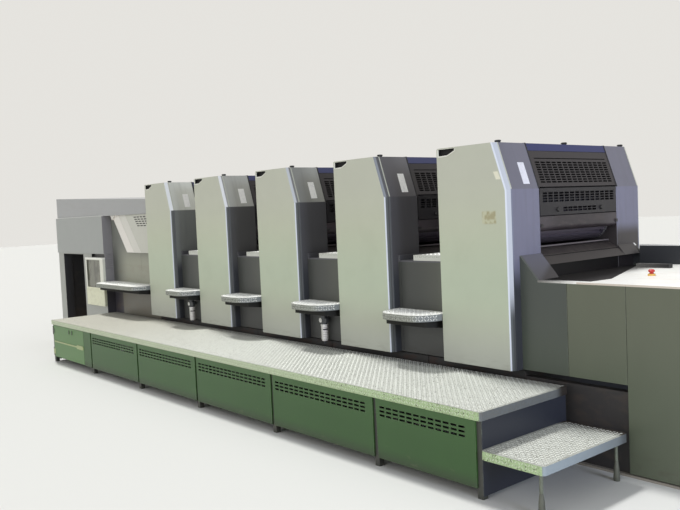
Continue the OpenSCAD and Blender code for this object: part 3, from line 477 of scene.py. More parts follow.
# Door seals: black rubber beads pressed on the housings' inner edges, from the foot of the sloped
# cover over its top corner and back along the roof, and plain white notice strips on the slopes.
seal_rubber = Finish("seal_rubber", (20, 20, 22), roughness=0.6)
seal_rubber.cloud(40, 0.15).relief(seal_rubber.noise(200, 2), 0.0004, 0.4)
seal_rubber.on()
SEAL_W, SEAL_UP = 0.013, 0.0036
lean = math.atan2(SLOPE_RUN, TOP_Z - KINK_Z)
out_of_slope = (math.cos(lean), 0, math.sin(lean))
corner_out = (math.cos(lean / 2 + math.pi / 4), 0, math.sin(lean / 2 + math.pi / 4))
bead = [(-SEAL_W / 2, -0.004), (SEAL_W / 2, -0.004), (SEAL_W / 2, 0.0012), (SEAL_W / 4, SEAL_UP),
        (-SEAL_W / 4, SEAL_UP), (-SEAL_W / 2, 0.0012)]
seals = []
for n in range(5):
    for y in (HOUSING_IN - SEAL_W / 2, FAR_IN + SEAL_W / 2):
        x = -n * PITCH_X
        path = [(x, y, KINK_Z), (x - SLOPE_RUN, y, TOP_Z), (x - UNIT_LENGTH + 0.01, y, TOP_Z)]
        sides = [((0, -1, 0), out_of_slope), ((0, -1, 0), corner_out), ((0, -1, 0), (0, 0, 1))]
        seals.append(sweep(bead, path, sides))
points, faces = joined(seals)
mesh_piece("cover_seals", points, faces, seal_rubber.material)

notice = Finish("notice_strip", (222, 222, 230), roughness=0.35)
# Painted light: the strips on the first four units are painted whiter against their shade.
notice.lay(notice.below(notice.x, -0.6), (250, 250, 246))
notice.cloud(40, 0.05).soil(60, 0.35, (160, 160, 172), low=0.55, high=0.75)
notice.on()
NOTICE_Y, NOTICE_W, NOTICE_Z, NOTICE_H, FILM = 0.178, 0.068, 1.770, 0.146, 0.0006


def slope_x(z):
    return -(z - KINK_Z) * SLOPE_RUN / (TOP_Z - KINK_Z)


def slab(corners, normal, thickness):
    """A thin plate from its four corners, raised along its normal."""
    low = np.array(corners, float)
    high = low + np.array(normal) * thickness
    faces = [(0, 1, 2, 3), (4, 7, 6, 5)] + [(i, i + 4, (i + 1) % 4 + 4, (i + 1) % 4) for i in range(4)]
    return np.concatenate([low, high]), [face[::-1] for face in faces]


strips = []
for n in range(5):
    low_x, high_x = slope_x(NOTICE_Z) - n * PITCH_X, slope_x(NOTICE_Z + NOTICE_H) - n * PITCH_X
    strips.append(slab([(low_x, NOTICE_Y, NOTICE_Z), (low_x, NOTICE_Y + NOTICE_W, NOTICE_Z),
                        (high_x, NOTICE_Y + NOTICE_W, NOTICE_Z + NOTICE_H),
                        (high_x, NOTICE_Y, NOTICE_Z + NOTICE_H)], out_of_slope, FILM))
points, faces = joined(strips)
mesh_piece("notice_strips", points, faces, notice.material)


# Side covers: pressed steel doors in sage-green paint, hung on the housings' outer sides. Their
# feeder-side edge is bevelled, a hand recess is pressed into the top corner, and the paint is
# greyer and a little soiled towards the walkway. The bevel and the covers' feeder-end sides carry
# painted light and shade, in lit and shaded tones for each unit, lighter and bluish on the last one,
# with a painted highlight line along the bevel's outer edge; the hand recess is painted black inside
# as shade, with a painted highlight on its rim.
GRIP_X, GRIP_Z = (-0.600, -0.449), (1.994, 2.047)
LIT_FROM = {1: KINK_Z, 2: KINK_Z, 3: KINK_Z, 4: KINK_Z, 5: 1.04}
LIT_TONES = {1: (208, 212, 216), 2: (210, 213, 217), 3: (177, 182, 188), 4: (124, 129, 137),
             5: (181, 186, 196)}
SHADE_TONES = {1: (196, 197, 190), 2: (130, 131, 130), 3: (100, 101, 102), 4: (70, 71, 75),
               5: (181, 186, 196)}
HIGHLIGHT_LINE_W, LIT_BAND_W = 0.0075, {1: 0.028, 2: 0.020, 3: 0.017, 4: 0.014, 5: 0.028}
for n, unit in enumerate(units, 1):
    sage = Finish(f"cover_paint_and_light_{n}", (184, 189, 167), roughness=0.42)
    sage.lay(sage.above(sage.z, 1.62, 0.30), (183, 185, 170))
    sage.lay(sage.both(sage.within((sage.z, 0.85, 1.35), soft=0.25), 0.7), (177, 189, 167))
    sage.lay(sage.below(sage.z, 0.78, 0.22), (174, 177, 166))
    sage.cloud(1.6, 0.022, stretch=(1, 1, 0.7)).cloud(9, 0.012)
    sage.soil(3.2, 0.10, (120, 122, 96), low=0.52, high=0.80,
              mask=sage.within((sage.z, 0.9, 1.5), soft=0.2))
    sage.soil(10, 0.25, (128, 124, 108), stretch=(1, 1, 4), mask=sage.below(sage.z, 0.60, 0.05))
    side = sage.above(sage.unit_x, -0.0008, 0.0004)
    # Painted light and shade on the bevel: dark below LIT_FROM, lit and shaded tones above it, and a painted
    # highlight line along its outer edge.
    bevel = sage.both(sage.above(sage.face_x, 0.55, 0.05),
                      sage.below(sage.face_x, 0.88, 0.05))
    lit = sage.both(bevel, sage.above(sage.z, LIT_FROM[n], 0.16 if n == 5 else 0.004))
    sage.lay(bevel, (48, 52, 54)).lay(sage.both(bevel, sage.below(sage.y, 0.018, 0.004)), (74, 79, 81))
    sage.lay(lit, SHADE_TONES[n])
    sage.lay(sage.both(lit, sage.below(sage.y, LIT_BAND_W[n], 0.003)), LIT_TONES[n])
    painted_highlight_line = sage.both(bevel, sage.below(sage.y, HIGHLIGHT_LINE_W, 0.002))
    if n < 5:
        painted_highlight_line = sage.both(painted_highlight_line, sage.below(sage.z, KINK_Z, 0.004))
    sage.lay(painted_highlight_line, (206, 211, 220))
    if n == 5:
        # Painted light on the feeder-end side: dark low and lighter bluish high on the last unit.
        sage.lay(side, (56, 58, 62))
        sage.lay(sage.both(side, sage.above(sage.z, 1.2, 0.12)), (120, 124, 142))
        on_front = sage.below(sage.y, 0.002, 0.001)
        residue = sage.both(on_front, sage.within((sage.x, -0.222, -0.106), (sage.z, 1.517, 1.600),
                                                  soft=0.008))
        sage.lay(sage.both(residue, 0.45), (190, 186, 148))
        sage.soil(22, 0.75, (150, 142, 108), low=0.44, high=0.56, mask=residue)
        slanted = sage.math("MULTIPLY_ADD", sage.z, 0.42, sage.x)
        label = sage.both(on_front, sage.within((slanted, 0.662, 0.700), (sage.z, 1.806, 1.858), soft=0.005))
        sage.lay(sage.both(label, sage.noise(40, 2, low=0.25, high=0.40)), (222, 220, 200))
    else:
        # Painted shade on the other units' feeder-end sides.
        sage.lay(side, (92, 94, 96))
    # Painted highlight on the hand recess's rim, and painted shade inside it.
    painted_highlight_rim = sage.within((sage.unit_x, GRIP_X[0] - 0.012, GRIP_X[1] + 0.012), (sage.z, GRIP_Z[0] - 0.012, TOP_Z),
                      (sage.y, 0.0012, 0.0062), soft=0.0005)
    sage.lay(painted_highlight_rim, (222, 222, 212))
    painted_shade_pocket = sage.within((sage.unit_x, GRIP_X[0], GRIP_X[1]), (sage.z, GRIP_Z[0], GRIP_Z[1]),
                         (sage.y, 0.0062, 0.0330), soft=0.0005)
    sage.lay(painted_shade_pocket, (16, 16, 16)).matt(painted_shade_pocket, 0.3)
    sage.matt(sage.noise(24, 2), 0.06)
    sage.round_edges(0.0022, (214, 215, 206), 0.5, mask=sage.below(sage.y, 0.015, 0.004))
    sage.relief(sage.noise(450, 2), 0.00012, 0.22)
    sage.on(unit + "covers")


# Sloped covers: the units' roof and front lid in dark brown-grey paint, folded from one sheet, with
# pressed slots whose walls are painted black as shade, and a painted blue strip along the top of the
# front, given a darker shaded copy on the last unit.
STRIP_Z = TOP_Z - 0.051
lid = Finish("lid_paint", (41, 36, 39), roughness=0.42)
lid.cloud(3, 0.06, stretch=(1, 2, 1)).cloud(18, 0.03)
lid.soil(5, 0.25, (60, 54, 54), stretch=(1, 2, 1), low=0.52, high=0.78)
strip = lid.above(lid.z, STRIP_Z, 0.0008)
# Painted shade: a darker blue copy of the strip on the last unit.
lid.lay(strip, (54, 59, 98)).lay(lid.both(strip, lid.above(lid.x, -0.7)), (34, 41, 90))
on_slope = lid.add("CombineXYZ", {"X": lid.unit_x, "Y": 0.0, "Z": lid.math("SUBTRACT", lid.z, KINK_Z)})
depth = lid.add("VectorMath", {0: on_slope, 1: out_of_slope}, "Value", operation="DOT_PRODUCT")
slot_rows = lid.within((lid.z, 1.760, TOP_Z - 0.004), (lid.unit_x, -0.125, 0.01), soft=0.001)
# Painted shade: the slots' sunk walls painted near black.
painted_shade_lid_slots = lid.both(lid.below(depth, -0.0012, 0.0006), slot_rows)
lid.lay(painted_shade_lid_slots, (14, 13, 14)).matt(painted_shade_lid_slots, 0.3)
lid_buffers = lid.above(lid.z, TOP_Z + 0.0006, 0.0004)
lid.lay(lid_buffers, BUFFER_TONE).matt(lid_buffers, 0.3)
lid.round_edges(0.0018, (130, 126, 124), 0.5).relief(lid.noise(300, 2), 0.00015, 0.3)
lid.on("sloped_covers")
shade_round("sloped_covers")


# Swinging guards: folded sheet with rows of punched slots, hung from the hinge rod by rolled
# knuckles and held below by two turned black knobs.
guard_paint = Finish("guard_paint", (27, 25, 30), roughness=0.45)
guard_paint.cloud(3, 0.07, stretch=(1, 2, 1)).soil(7, 0.25, (50, 47, 47), stretch=(1, 2, 1))
knobs = guard_paint.both(guard_paint.above(guard_paint.unit_x, -0.0022, 0.0006),
                         guard_paint.below(guard_paint.z, 1.65))
guard_paint.lay(knobs, (26, 26, 28))
guard_paint.round_edges(0.0016, (128, 124, 120), 0.6).relief(guard_paint.noise(300, 2), 0.00015, 0.3)
guard_paint.on(*[u + "guard" for u in units])
shade_round(*[u + "guard" for u in units])


# Recessed panels: flat doors between the units over the drive shaft and air pipes, in olive-grey
# paint, with floor pans between them and louvred panels below on the drive side. Painted shade
# darkens them near the unit on their delivery side and below the low steps, and painted light makes
# them paler near the unit on their feeder side.
RECESS = 0.096
olive = Finish("olive_grey_paint", (80, 82, 75), roughness=0.42)
olive.cloud(1.8, 0.06, stretch=(1.5, 1, 0.5)).cloud(10, 0.02, stretch=(1, 1, 0.3))
# Painted shade near the delivery-side unit and painted light near the feeder-side unit.
olive.lay(olive.below(olive.unit_x, 0.33, 0.16), (66, 68, 65))
olive.lay(olive.above(olive.unit_x, 0.47, 0.09), (106, 108, 97))
# Painted shade below the low steps.
olive.lay(olive.below(olive.z, 0.83, 0.02), (72, 73, 72))
olive.lay(olive.above(olive.z, 1.2385, 0.0005), (84, 84, 88))
olive.soil(9, 0.3, (60, 56, 48), stretch=(1, 1, 3), mask=olive.below(olive.z, 0.62, 0.06))
olive.round_edges(0.002, (140, 142, 132), 0.5).relief(olive.noise(420, 2), 0.00012, 0.25)
olive.on("recessed_panels")


# Tread plate: rolled aluminium sheet with raised lens-shaped bars, each turned across its
# neighbours, cut and folded down into trays for the walkway, the galleries and the steps. Shoes
# keep the bars bright and leave dark dirt between them.
BAR_LEN, BAR_W, BAR_H, BAR_PITCH = 0.0245, 0.0068, 0.0016, 0.0215
BAR_SHAPE = np.array([(-0.5, 0, 0), (-0.2, -0.5, 0), (0.2, -0.5, 0), (0.5, 0, 0), (0.2, 0.5, 0),
                      (-0.2, 0.5, 0), (-0.22, 0, 1), (0.22, 0, 1)])
BAR_FACES = np.array([(0, 1, 6, 6), (0, 6, 5, 5), (3, 7, 2, 2), (3, 4, 7, 7), (1, 2, 7, 6), (5, 6, 7, 4),
                      (0, 5, 4, 1), (1, 4, 3, 2)])


def bars(centres, along_u, along_v, normal, which):
    """Bars standing at centres on a sheet with directions u, v and normal. A bar lies on the
    diagonal u + v where which is 0 and on u - v where it is 1, and its foot is sunk a hair."""
    sign = np.where(which % 2 == 0, 1.0, -1.0)[:, None]
    length_way = (along_u + sign * along_v) / math.sqrt(2)
    width_way = np.cross(normal, length_way)
    shape = BAR_SHAPE * (BAR_LEN, BAR_W, BAR_H + 0.0002) - (0, 0, 0.0002)
    points = (centres[:, None] + shape[None, :, 0, None] * length_way[:, None]
              + shape[None, :, 1, None] * width_way[:, None] + shape[None, :, 2, None] * normal[:, None])
    faces = (np.arange(len(centres))[:, None, None] * len(shape) + BAR_FACES[None]).reshape(-1, 4)
    return points.reshape(-1, 3), [tuple(dict.fromkeys(face)) for face in faces.tolist()]


def flat_bars(x0, x1, y0, y1, z, inside):
    """Bars on a level sheet, on a square lattice where inside(x, y) holds."""
    i, j = np.meshgrid(np.arange(int((x1 - x0) / BAR_PITCH) + 1), np.arange(int((y1 - y0) / BAR_PITCH) + 1))
    x = x0 + (x1 - x0) % BAR_PITCH / 2 + i.ravel() * BAR_PITCH
    y = y0 + (y1 - y0) % BAR_PITCH / 2 + j.ravel() * BAR_PITCH
    keep = inside(x, y)
    x, y, which = x[keep], y[keep], (i + j).ravel()[keep]
    ones = np.ones((len(x), 1))
    return bars(np.column_stack([x, y, z * ones[:, 0]]), ones * (1, 0, 0), ones * (0, 1, 0),
                ones * (0, 0, 1), which)


def fold_bars(path, top, rows):
    """Bars on the folded edge below top, in rows, spaced along a path of (x, y) points that runs
    with the sheet's outside on its right."""
    path = np.array(path, float)
    step = np.linalg.norm(np.diff(path, axis=0), axis=1)
    run = np.concatenate([[0], np.cumsum(step)])
    i, j = np.meshgrid(np.arange(1, int(run[-1] / BAR_PITCH)), np.arange(rows))
    s = i.ravel() * BAR_PITCH
    x, y = np.interp(s, run, path[:, 0]), np.interp(s, run, path[:, 1])
    part = np.clip(np.searchsorted(run, s) - 1, 0, len(step) - 1)
    way = np.diff(path, axis=0)[part] / step[part][:, None]
    along_u = np.column_stack([way, np.zeros(len(s))])
    ones = np.ones((len(s), 1))
    normal = np.column_stack([way[:, 1], -way[:, 0], np.zeros(len(s))])
    z = top - BAR_PITCH * 0.55 - j.ravel() * BAR_PITCH
    return bars(np.column_stack([x, y, z]), along_u, ones * (0, 0, 1), normal, (i + j).ravel())


def round_rectangle(x0, x1, y0, y1, r, gap):
    """True inside a rectangle with round corners, at least gap from its edge."""
    def inside(x, y):
        dx = np.maximum(np.abs(x - (x0 + x1) / 2) - (x1 - x0) / 2 + r, 0)
        dy = np.maximum(np.abs(y - (y0 + y1) / 2) - (y1 - y0) / 2 + r, 0)
        return np.hypot(dx, dy) <= r - gap
    return inside


def corner(cx, cy, r, start, end, steps=6):
    """Points on an arc from start to end degrees."""
    turn = np.radians(np.linspace(start, end, steps))
    return list(zip(cx + r * np.cos(turn), cy + r * np.sin(turn)))


def tread_finish(name, tone, front_painted_light, side_painted_light):
    """Tread plate seen from above in tone, with the front folds, the feeder-end folds and the
    undersides in their own tones of painted light and shade.
    """
    tread = Finish(name, tone, roughness=0.60, metallic=0.10, Specular_IOR_Level=0.25)
    front = tread.below(tread.face_y, -0.5, 0.2)
    tread.lay(front, front_painted_light)
    tread.lay(tread.above(tread.face_x, 0.5, 0.2), side_painted_light)
    tread.cloud(2.5, 0.05).cloud(35, 0.07, detail=2)
    tread.soil(130, 0.45, (112, 108, 98), detail=2, low=0.48, high=0.64)
    tread.soil(6, 0.25, (128, 120, 104), stretch=(1, 2, 1), low=0.55, high=0.80)
    side = tread.above(tread.face_x, 0.5, 0.2)
    dark_specks = tread.both(tread.specks(75, 0.30), tread.math("MULTIPLY_ADD", side, -0.75, 0.85))
    tread.lay(dark_specks, (66, 66, 56))
    # Painted shade on the undersides.
    tread.lay(tread.below(tread.face_z, -0.5, 0.2), (96, 96, 92))
    tread.matt(tread.noise(80, 2), 0.15)
    tread.round_edges(0.003, (212, 215, 212), 0.35).relief(tread.noise(160, 3), 0.0004, 0.35)
    return tread


# Painted reflection of the floor's green on the front folds, and painted light in a bluish grey on the
# feeder-end folds.
plate = tread_finish("tread_plate", (172, 174, 166), (171, 194, 149), (108, 112, 114))
FAR_DECK = (-3.9, 1.7)
low_sheet = plate.below(plate.z, 0.55)
level = plate.above(plate.face_z, 0.5, 0.1)
front = plate.below(plate.face_y, -0.5, 0.2)
side = plate.above(plate.face_x, 0.5, 0.2)
plate.lay(plate.both(low_sheet, plate.both(plate.below(plate.x, *FAR_DECK), level)), (150, 148, 136))
# Oil and painted shade along the deck's back edge under the covers.
oil_and_painted_shade = plate.both(plate.above(plate.y, -0.055, 0.045), plate.noise(6, 3, low=0.10, high=0.32))
plate.lay(plate.both(low_sheet, oil_and_painted_shade), (50, 45, 41))
# Painted reflection of the floor's green on the deck's front fold, and paler painted light on the galleries'
# fronts.
plate.lay(plate.both(plate.both(low_sheet, front), plate.below(plate.x, -1.5, 1.6)), (182, 190, 166))
plate.lay(plate.both(front, plate.above(plate.z, 1.2)), (200, 201, 194))
# Painted light in a cool bluish tone on the entry step's feeder-end fold.
painted_light_entry_side = plate.both(side, plate.below(plate.z, 0.33))
plate.lay(plate.both(painted_light_entry_side, plate.below(plate.y, -0.20, 0.55)), (152, 163, 170))
plate.on("walkway_deck", "entry_step", "gallery_treads")
shade_round("walkway_deck", "entry_step")
bright_bar = Finish("tread_bars", (222, 224, 216), roughness=0.50, metallic=0.15, Specular_IOR_Level=0.3)
far_bars = bright_bar.both(bright_bar.below(bright_bar.x, *FAR_DECK), bright_bar.below(bright_bar.z, 0.55))
bright_bar.lay(far_bars, (198, 196, 183))
# Painted reflection of the floor's green on the bars of the front folds.
bright_bar.lay(bright_bar.below(bright_bar.face_y, -0.6, 0.2), (196, 208, 180))
bright_bar.cloud(60, 0.10, detail=2).soil(90, 0.4, (150, 146, 136), low=0.5, high=0.7)
bright_bar.lay(bright_bar.specks(75, 0.22), (110, 108, 96))
bright_bar.on()


def local(name):
    """A node's box in metres from ORIGIN."""
    low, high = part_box(name)
    return low - ORIGIN, high - ORIGIN


DECK_R, EDGE_GAP = 0.024, 0.012
deck_low, deck_high = local("walkway_deck")
deck_front = [(deck_low.x + DECK_R, deck_low.y), (deck_high.x - DECK_R, deck_low.y)]
points, faces = joined([
    flat_bars(deck_low.x, deck_high.x, deck_low.y, deck_high.y, deck_high.z,
              round_rectangle(deck_low.x, deck_high.x, deck_low.y, deck_high.y, DECK_R, EDGE_GAP)),
    fold_bars(deck_front, deck_high.z, 2)])
mesh_piece("deck_tread_bars", points, faces, bright_bar.material)


# Galleries: tread trays laid between the units as high steps, so that a printer can reach the
# inking units from both sides. Their fronts are folded down over the recessed panels.
gallery_low, gallery_high = local("gallery_treads")
first_gap = -PITCH_X + 0.1653
galleries = []
for n in range(4):
    x0, x1 = first_gap - n * PITCH_X, -UNIT_LENGTH - n * PITCH_X
    galleries.append(flat_bars(x0, x1, gallery_low.y, gallery_high.y, gallery_high.z,
                               round_rectangle(x0, x1, gallery_low.y, gallery_high.y, 0.02, EDGE_GAP)))
    galleries.append(fold_bars([(x0, gallery_low.y), (x1, gallery_low.y)], gallery_high.z, 1))
points, faces = joined(galleries)
# Painted light: the galleries' and low steps' bars are painted whiter than the walkway's against the shade
# between the units, and darker on their front folds.
painted_light_bar = Finish("painted_light_tread_bars", (252, 252, 247), roughness=0.50, metallic=0.10, Specular_IOR_Level=0.3)
painted_light_bar.lay(painted_light_bar.below(painted_light_bar.face_y, -0.6, 0.2), (176, 180, 170))
painted_light_bar.cloud(60, 0.06, detail=2).soil(90, 0.35, (150, 146, 136), low=0.5, high=0.7)
painted_light_bar.lay(painted_light_bar.specks(75, 0.25), (84, 84, 76))
painted_light_bar.on()
mesh_piece("gallery_tread_bars", points, faces, painted_light_bar.material)


# Low steps: tread trays with round front corners, each on a black folded bracket with gussets that
# is screwed to the recessed panel, and a longer one beside the delivery.
STEP_FRONT, STEP_ROUND, STEP_FOLD, STEP_GAP, SIDE_T = -0.195, 0.185, 0.047, 0.0003, 0.125
# Painted light: the low steps' plate is painted paler than the walkway's against the shade between the units,
# with shaded tones on its folds.
low_plate = tread_finish("low_step_plate", (218, 220, 213), (138, 141, 134), (130, 134, 136))
STEP_Z = local("low_steps")[1].z
# Black brackets, and painted shade on the trays' undersides.
bracket_and_painted_shade = low_plate.either(low_plate.below(low_plate.z, STEP_Z - STEP_FOLD - 0.0005, 0.0005),
                         low_plate.below(low_plate.face_z, -0.9, 0.05))
low_plate.lay(bracket_and_painted_shade, (44, 44, 42)).matt(bracket_and_painted_shade, 0.1)
low_plate.on("low_steps")
shade_round("low_steps")


def low_step_bars(x0, x1, y_back):
    """Bars on a low step's top and on its fold round both front corners."""
    whole = round_rectangle(x0, x1, STEP_FRONT, y_back + STEP_ROUND, STEP_ROUND, EDGE_GAP)
    corner_y = STEP_FRONT + STEP_ROUND
    fold = (corner(x0 + STEP_ROUND, corner_y, STEP_ROUND, 180, 270, 13)
            + corner(x1 - STEP_ROUND, corner_y, STEP_ROUND, 270, 360, 13))
    return [flat_bars(x0, x1, STEP_FRONT, y_back, STEP_Z,
                      lambda x, y: whole(x, y) & (y < y_back - EDGE_GAP)), fold_bars(fold, STEP_Z, 2)]


step_left = local("low_steps")[0].x
steps = low_step_bars(step_left, -4 * PITCH_X - UNIT_LENGTH - STEP_GAP, SIDE_T)
for n in range(1, 5):
    steps += low_step_bars(-n * PITCH_X + STEP_GAP, (1 - n) * PITCH_X - UNIT_LENGTH - STEP_GAP, RECESS)
points, faces = joined(steps)
mesh_piece("step_tread_bars", points, faces, painted_light_bar.material)


# Air filter regulators: a black die-cast head with its knob and pressure dial over a clear bowl
# with a white filter element, hung on a bracket under two of the low steps.
regulator = Finish("regulator_metal", (70, 73, 76), roughness=0.35)
bowl = regulator.below(regulator.z, 0.6885, 0.0006)
regulator.lay(bowl, (255, 252, 248))
ribs = regulator.math("SINE", regulator.math("MULTIPLY", regulator.z, 420.0))
regulator.lay(regulator.both(bowl, regulator.above(ribs, 0.86, 0.1)), (120, 118, 120))
regulator.lay(regulator.within((regulator.z, 0.640, 0.652)), (52, 54, 60))
regulator.lay(regulator.below(regulator.z, 0.546, 0.004), (60, 62, 66))
dial = regulator.below(regulator.y, 0.0245, 0.0004)
regulator.lay(dial, (214, 214, 208))
regulator.cloud(30, 0.08).round_edges(0.0015, (110, 112, 116), 0.5)
regulator.on("air_regulators")
shade_round("air_regulators")


# Walkway frame: square steel tube legs and cross beams in black enamel, welded up, with brackets
# to the machine base and the door's hinge pins. Scuffed pale at the feet.
legs = Finish("black_enamel", (58, 59, 54), roughness=0.5)
legs.cloud(8, 0.10).soil(12, 0.35, (96, 92, 82), stretch=(1, 1, 2), mask=legs.below(legs.z, 0.10, 0.08))
legs.round_edges(0.003, (110, 108, 98), 0.6).relief(legs.noise(120, 2), 0.0003, 0.3)
legs.on("walkway_frame")


# Skirt panels: louvred sheet-steel panels with folded edges, in bottle-green paint, clipped
# between the legs, and a blue-grey end plate under each end of the walkway.
STEP_LEFT = deck_high.x - 0.008
skirt = Finish("green_paint", (47, 82, 36), roughness=0.42)
# Painted sky reflection: lighter green higher up; darker towards the floor.
skirt.lay(skirt.above(skirt.z, 0.33, 0.12), (53, 88, 41))
skirt.cloud(1.4, 0.05, stretch=(1, 1, 0.8)).cloud(12, 0.02)
skirt.lay(skirt.below(skirt.z, 0.10, 0.05), (44, 62, 35))
skirt.soil(14, 0.35, (128, 128, 100), stretch=(0.6, 1, 2), low=0.62, high=0.78,
           mask=skirt.below(skirt.z, 0.16, 0.06))
plates = skirt.either(skirt.above(skirt.x, STEP_LEFT - 0.006, 0.001),
                    skirt.below(skirt.x, deck_low.x + 0.014, 0.001))
skirt.lay(plates, (44, 47, 57))
skirt.round_edges(0.0025, (150, 168, 138), 0.8).relief(skirt.noise(400, 2), 0.00012, 0.25)
skirt.on("walkway_panels")


# Walkway door: a flat green door in the walkway's last bay at the delivery end, with rolled knuckles
# on the leg's pins, a pull bar pressed from lighter strip, a latch plate and two hooks.
door_low = local("walkway_door")[0]
door = Finish("door_paint", (85, 120, 70), roughness=0.42)
door.cloud(1.6, 0.05).cloud(12, 0.02)
fittings = door.below(door.y, door_low.y + 0.0042, 0.0006)
door.lay(door.both(fittings, door.below(door.z, 0.34, 0.004)), (158, 168, 120))
door.lay(door.both(fittings, door.above(door.z, 0.34, 0.004)), (58, 66, 54))
door.round_edges(0.0025, (160, 172, 146), 0.8).relief(door.noise(400, 2), 0.00012, 0.25)
door.on("walkway_door")
shade_round("walkway_door")


# Entry step: one more tread tray in front of the walkway's end plate, hung on an angle that is
# screwed to the plate and standing on two thin tube legs in tapered grey sleeves.
entry_low, entry_high = local("entry_step")
entry_front = [(entry_low.x + DECK_R, entry_low.y), (entry_high.x - DECK_R, entry_low.y)]
points, faces = joined([
    flat_bars(entry_low.x, entry_high.x, entry_low.y, entry_high.y, entry_high.z,
              round_rectangle(entry_low.x, entry_high.x, entry_low.y, entry_high.y, DECK_R, EDGE_GAP)),
    fold_bars(entry_front, entry_high.z, 2)])
mesh_piece("entry_tread_bars", points, faces, bright_bar.material)
tube = Finish("step_legs", (108, 114, 100), roughness=0.45, metallic=0.1)
tube.lay(tube.below(tube.z, 0.122, 0.002), (92, 94, 84)).cloud(20, 0.08)
tube.soil(30, 0.4, (60, 62, 54), stretch=(1, 1, 0.5))
tube.on("entry_step_legs")
shade_round("entry_step_legs")


# Infeed hood: bent sheets that flare from the last unit's housings down to the table, with a lip
# below the plate opening, in the housings' charcoal, painted lighter and bluish at the top as painted
# light, with painted shade on the operator flare and darker, browner tones on the lip and the
# drive-side flare.
hood = Finish("hood_paint", (74, 73, 78), roughness=0.42)
hood.lay(hood.above(hood.z, 1.22, 0.07), (84, 84, 96))
# Painted shade on the operator flare, darker to the right of a slanted line.
SHADE_SLOPE = 0.081 / 0.207
SHADE_FOOT = 1.143 - 0.129 * SHADE_SLOPE
shaded = hood.math("MULTIPLY_ADD", hood.y, -SHADE_SLOPE, hood.math("ADD", hood.z, -SHADE_FOOT))
hood.lay(hood.below(shaded, 0.0, 0.022), (46, 42, 45))
hood.lay(hood.above(hood.y, HOUSING_IN, 0.001), (44, 38, 38))
hood.lay(hood.above(hood.y, 1.29, 0.002), (58, 54, 54))
hood.cloud(4, 0.08).round_edges(0.003, (104, 102, 104), 0.3).relief(hood.noise(300, 2), 0.00015, 0.25)
hood.on("infeed_hood")


# Feeder side panels: flat steel doors in olive grey from the unit to the pile, and a raised
# dark grey cover with a pale top edge along the drive side of the table.
TABLE_Z = 1.131
flat_panels = Finish("feeder_paint", (93, 97, 81), roughness=0.40)
flat_panels.lay(flat_panels.below(flat_panels.x, 0.347, 0.002), (69, 74, 69))
flat_panels.lay(flat_panels.both(flat_panels.below(flat_panels.z, 0.75, 0.35), 0.5), (82, 92, 76))
flat_panels.cloud(1.3, 0.05, stretch=(1.6, 1, 0.6)).cloud(7, 0.02, stretch=(1, 1, 0.3))
rail = flat_panels.both(flat_panels.above(flat_panels.y, 1.45, 0.004),
                        flat_panels.above(flat_panels.z, 1.1435, 0.001))
flat_panels.lay(rail, (50, 52, 56))
flat_panels.soil(11, 0.3, (66, 62, 50), stretch=(1, 1, 3), mask=flat_panels.below(flat_panels.z, 0.12, 0.06))
flat_panels.lay(flat_panels.both(rail, flat_panels.above(flat_panels.z, 1.281, 0.001)), (238, 238, 234))
flat_panels.round_edges(0.0022, (168, 172, 160), 0.7).relief(flat_panels.noise(420, 2), 0.00012, 0.25)
flat_panels.on("feeder_panels")


# Feeder base: dark walls and posts inside the panels that carry the table, the pile's side rails
# and the suction head, on a thin pale plinth strip along the floor.
plinth = Finish("feeder_base_enamel", (52, 50, 50), roughness=0.5)
plinth.cloud(4, 0.10).soil(8, 0.3, (84, 72, 62), stretch=(1, 1, 2))
plinth.lay(plinth.both(plinth.below(plinth.z, 0.0142, 0.0004), plinth.above(plinth.x, 0.34, 0.004)),
           (140, 134, 124))
plinth.round_edges(0.003, (100, 96, 90), 0.5).relief(plinth.noise(120, 2), 0.0003, 0.3)
plinth.on("feeder_base")


# Feed table: a white laminated plate over a dark board, with a black stop bar and a red mushroom
# push button in a yellow collar. Sheets have left faint pink and green marks on it.
PLATE_Z = TABLE_Z + 0.012
BUTTON = (0.616, 0.642)
table = Finish("table_laminate", (240, 240, 234), roughness=0.38)
table.cloud(3, 0.02).soil(5, 0.30, (222, 206, 196), stretch=(1, 3, 1), low=0.50, high=0.70)
table.soil(8, 0.25, (214, 222, 196), stretch=(1, 2, 1), low=0.55, high=0.75)
table.soil(24, 0.5, (120, 96, 84), stretch=(1, 6, 1), low=0.66, high=0.74)
table.lay(table.below(table.z, TABLE_Z + 0.0003, 0.0003), (44, 42, 42))
table.lay(table.both(table.above(table.z, PLATE_Z + 0.0004, 0.0003), table.above(table.y, 1.0, 0.01)),
          (28, 27, 30))
reach = table.math("SQRT", table.math("ADD",
                   table.math("POWER", table.math("SUBTRACT", table.x, BUTTON[0]), 2.0),
                   table.math("POWER", table.math("SUBTRACT", table.y, BUTTON[1]), 2.0)))
on_button = table.both(table.below(reach, 0.027, 0.001), table.above(table.z, PLATE_Z + 0.0004, 0.0003))
table.lay(on_button, (222, 176, 84))
table.lay(table.both(on_button, table.above(table.z, PLATE_Z + 0.013, 0.0006)), (186, 44, 40))
# Painted shade: the laminate by the hood is painted grey.
painted_shade_by_hood = table.both(table.below(table.x, 0.30, 0.17), table.above(table.z, PLATE_Z - 0.0116, 0.0002))
table.lay(painted_shade_by_hood, (120, 118, 114))
front_edge = table.within((table.x, 0.42, 9.0), (table.z, TABLE_Z, PLATE_Z + 0.0002), soft=0.0002)
table.lay(table.both(table.below(table.face_y, -0.5, 0.2), front_edge), (206, 196, 182))
table.round_edges(0.0015, (236, 236, 230), 0.3)
table.on("feed_board")
shade_round("feed_board")


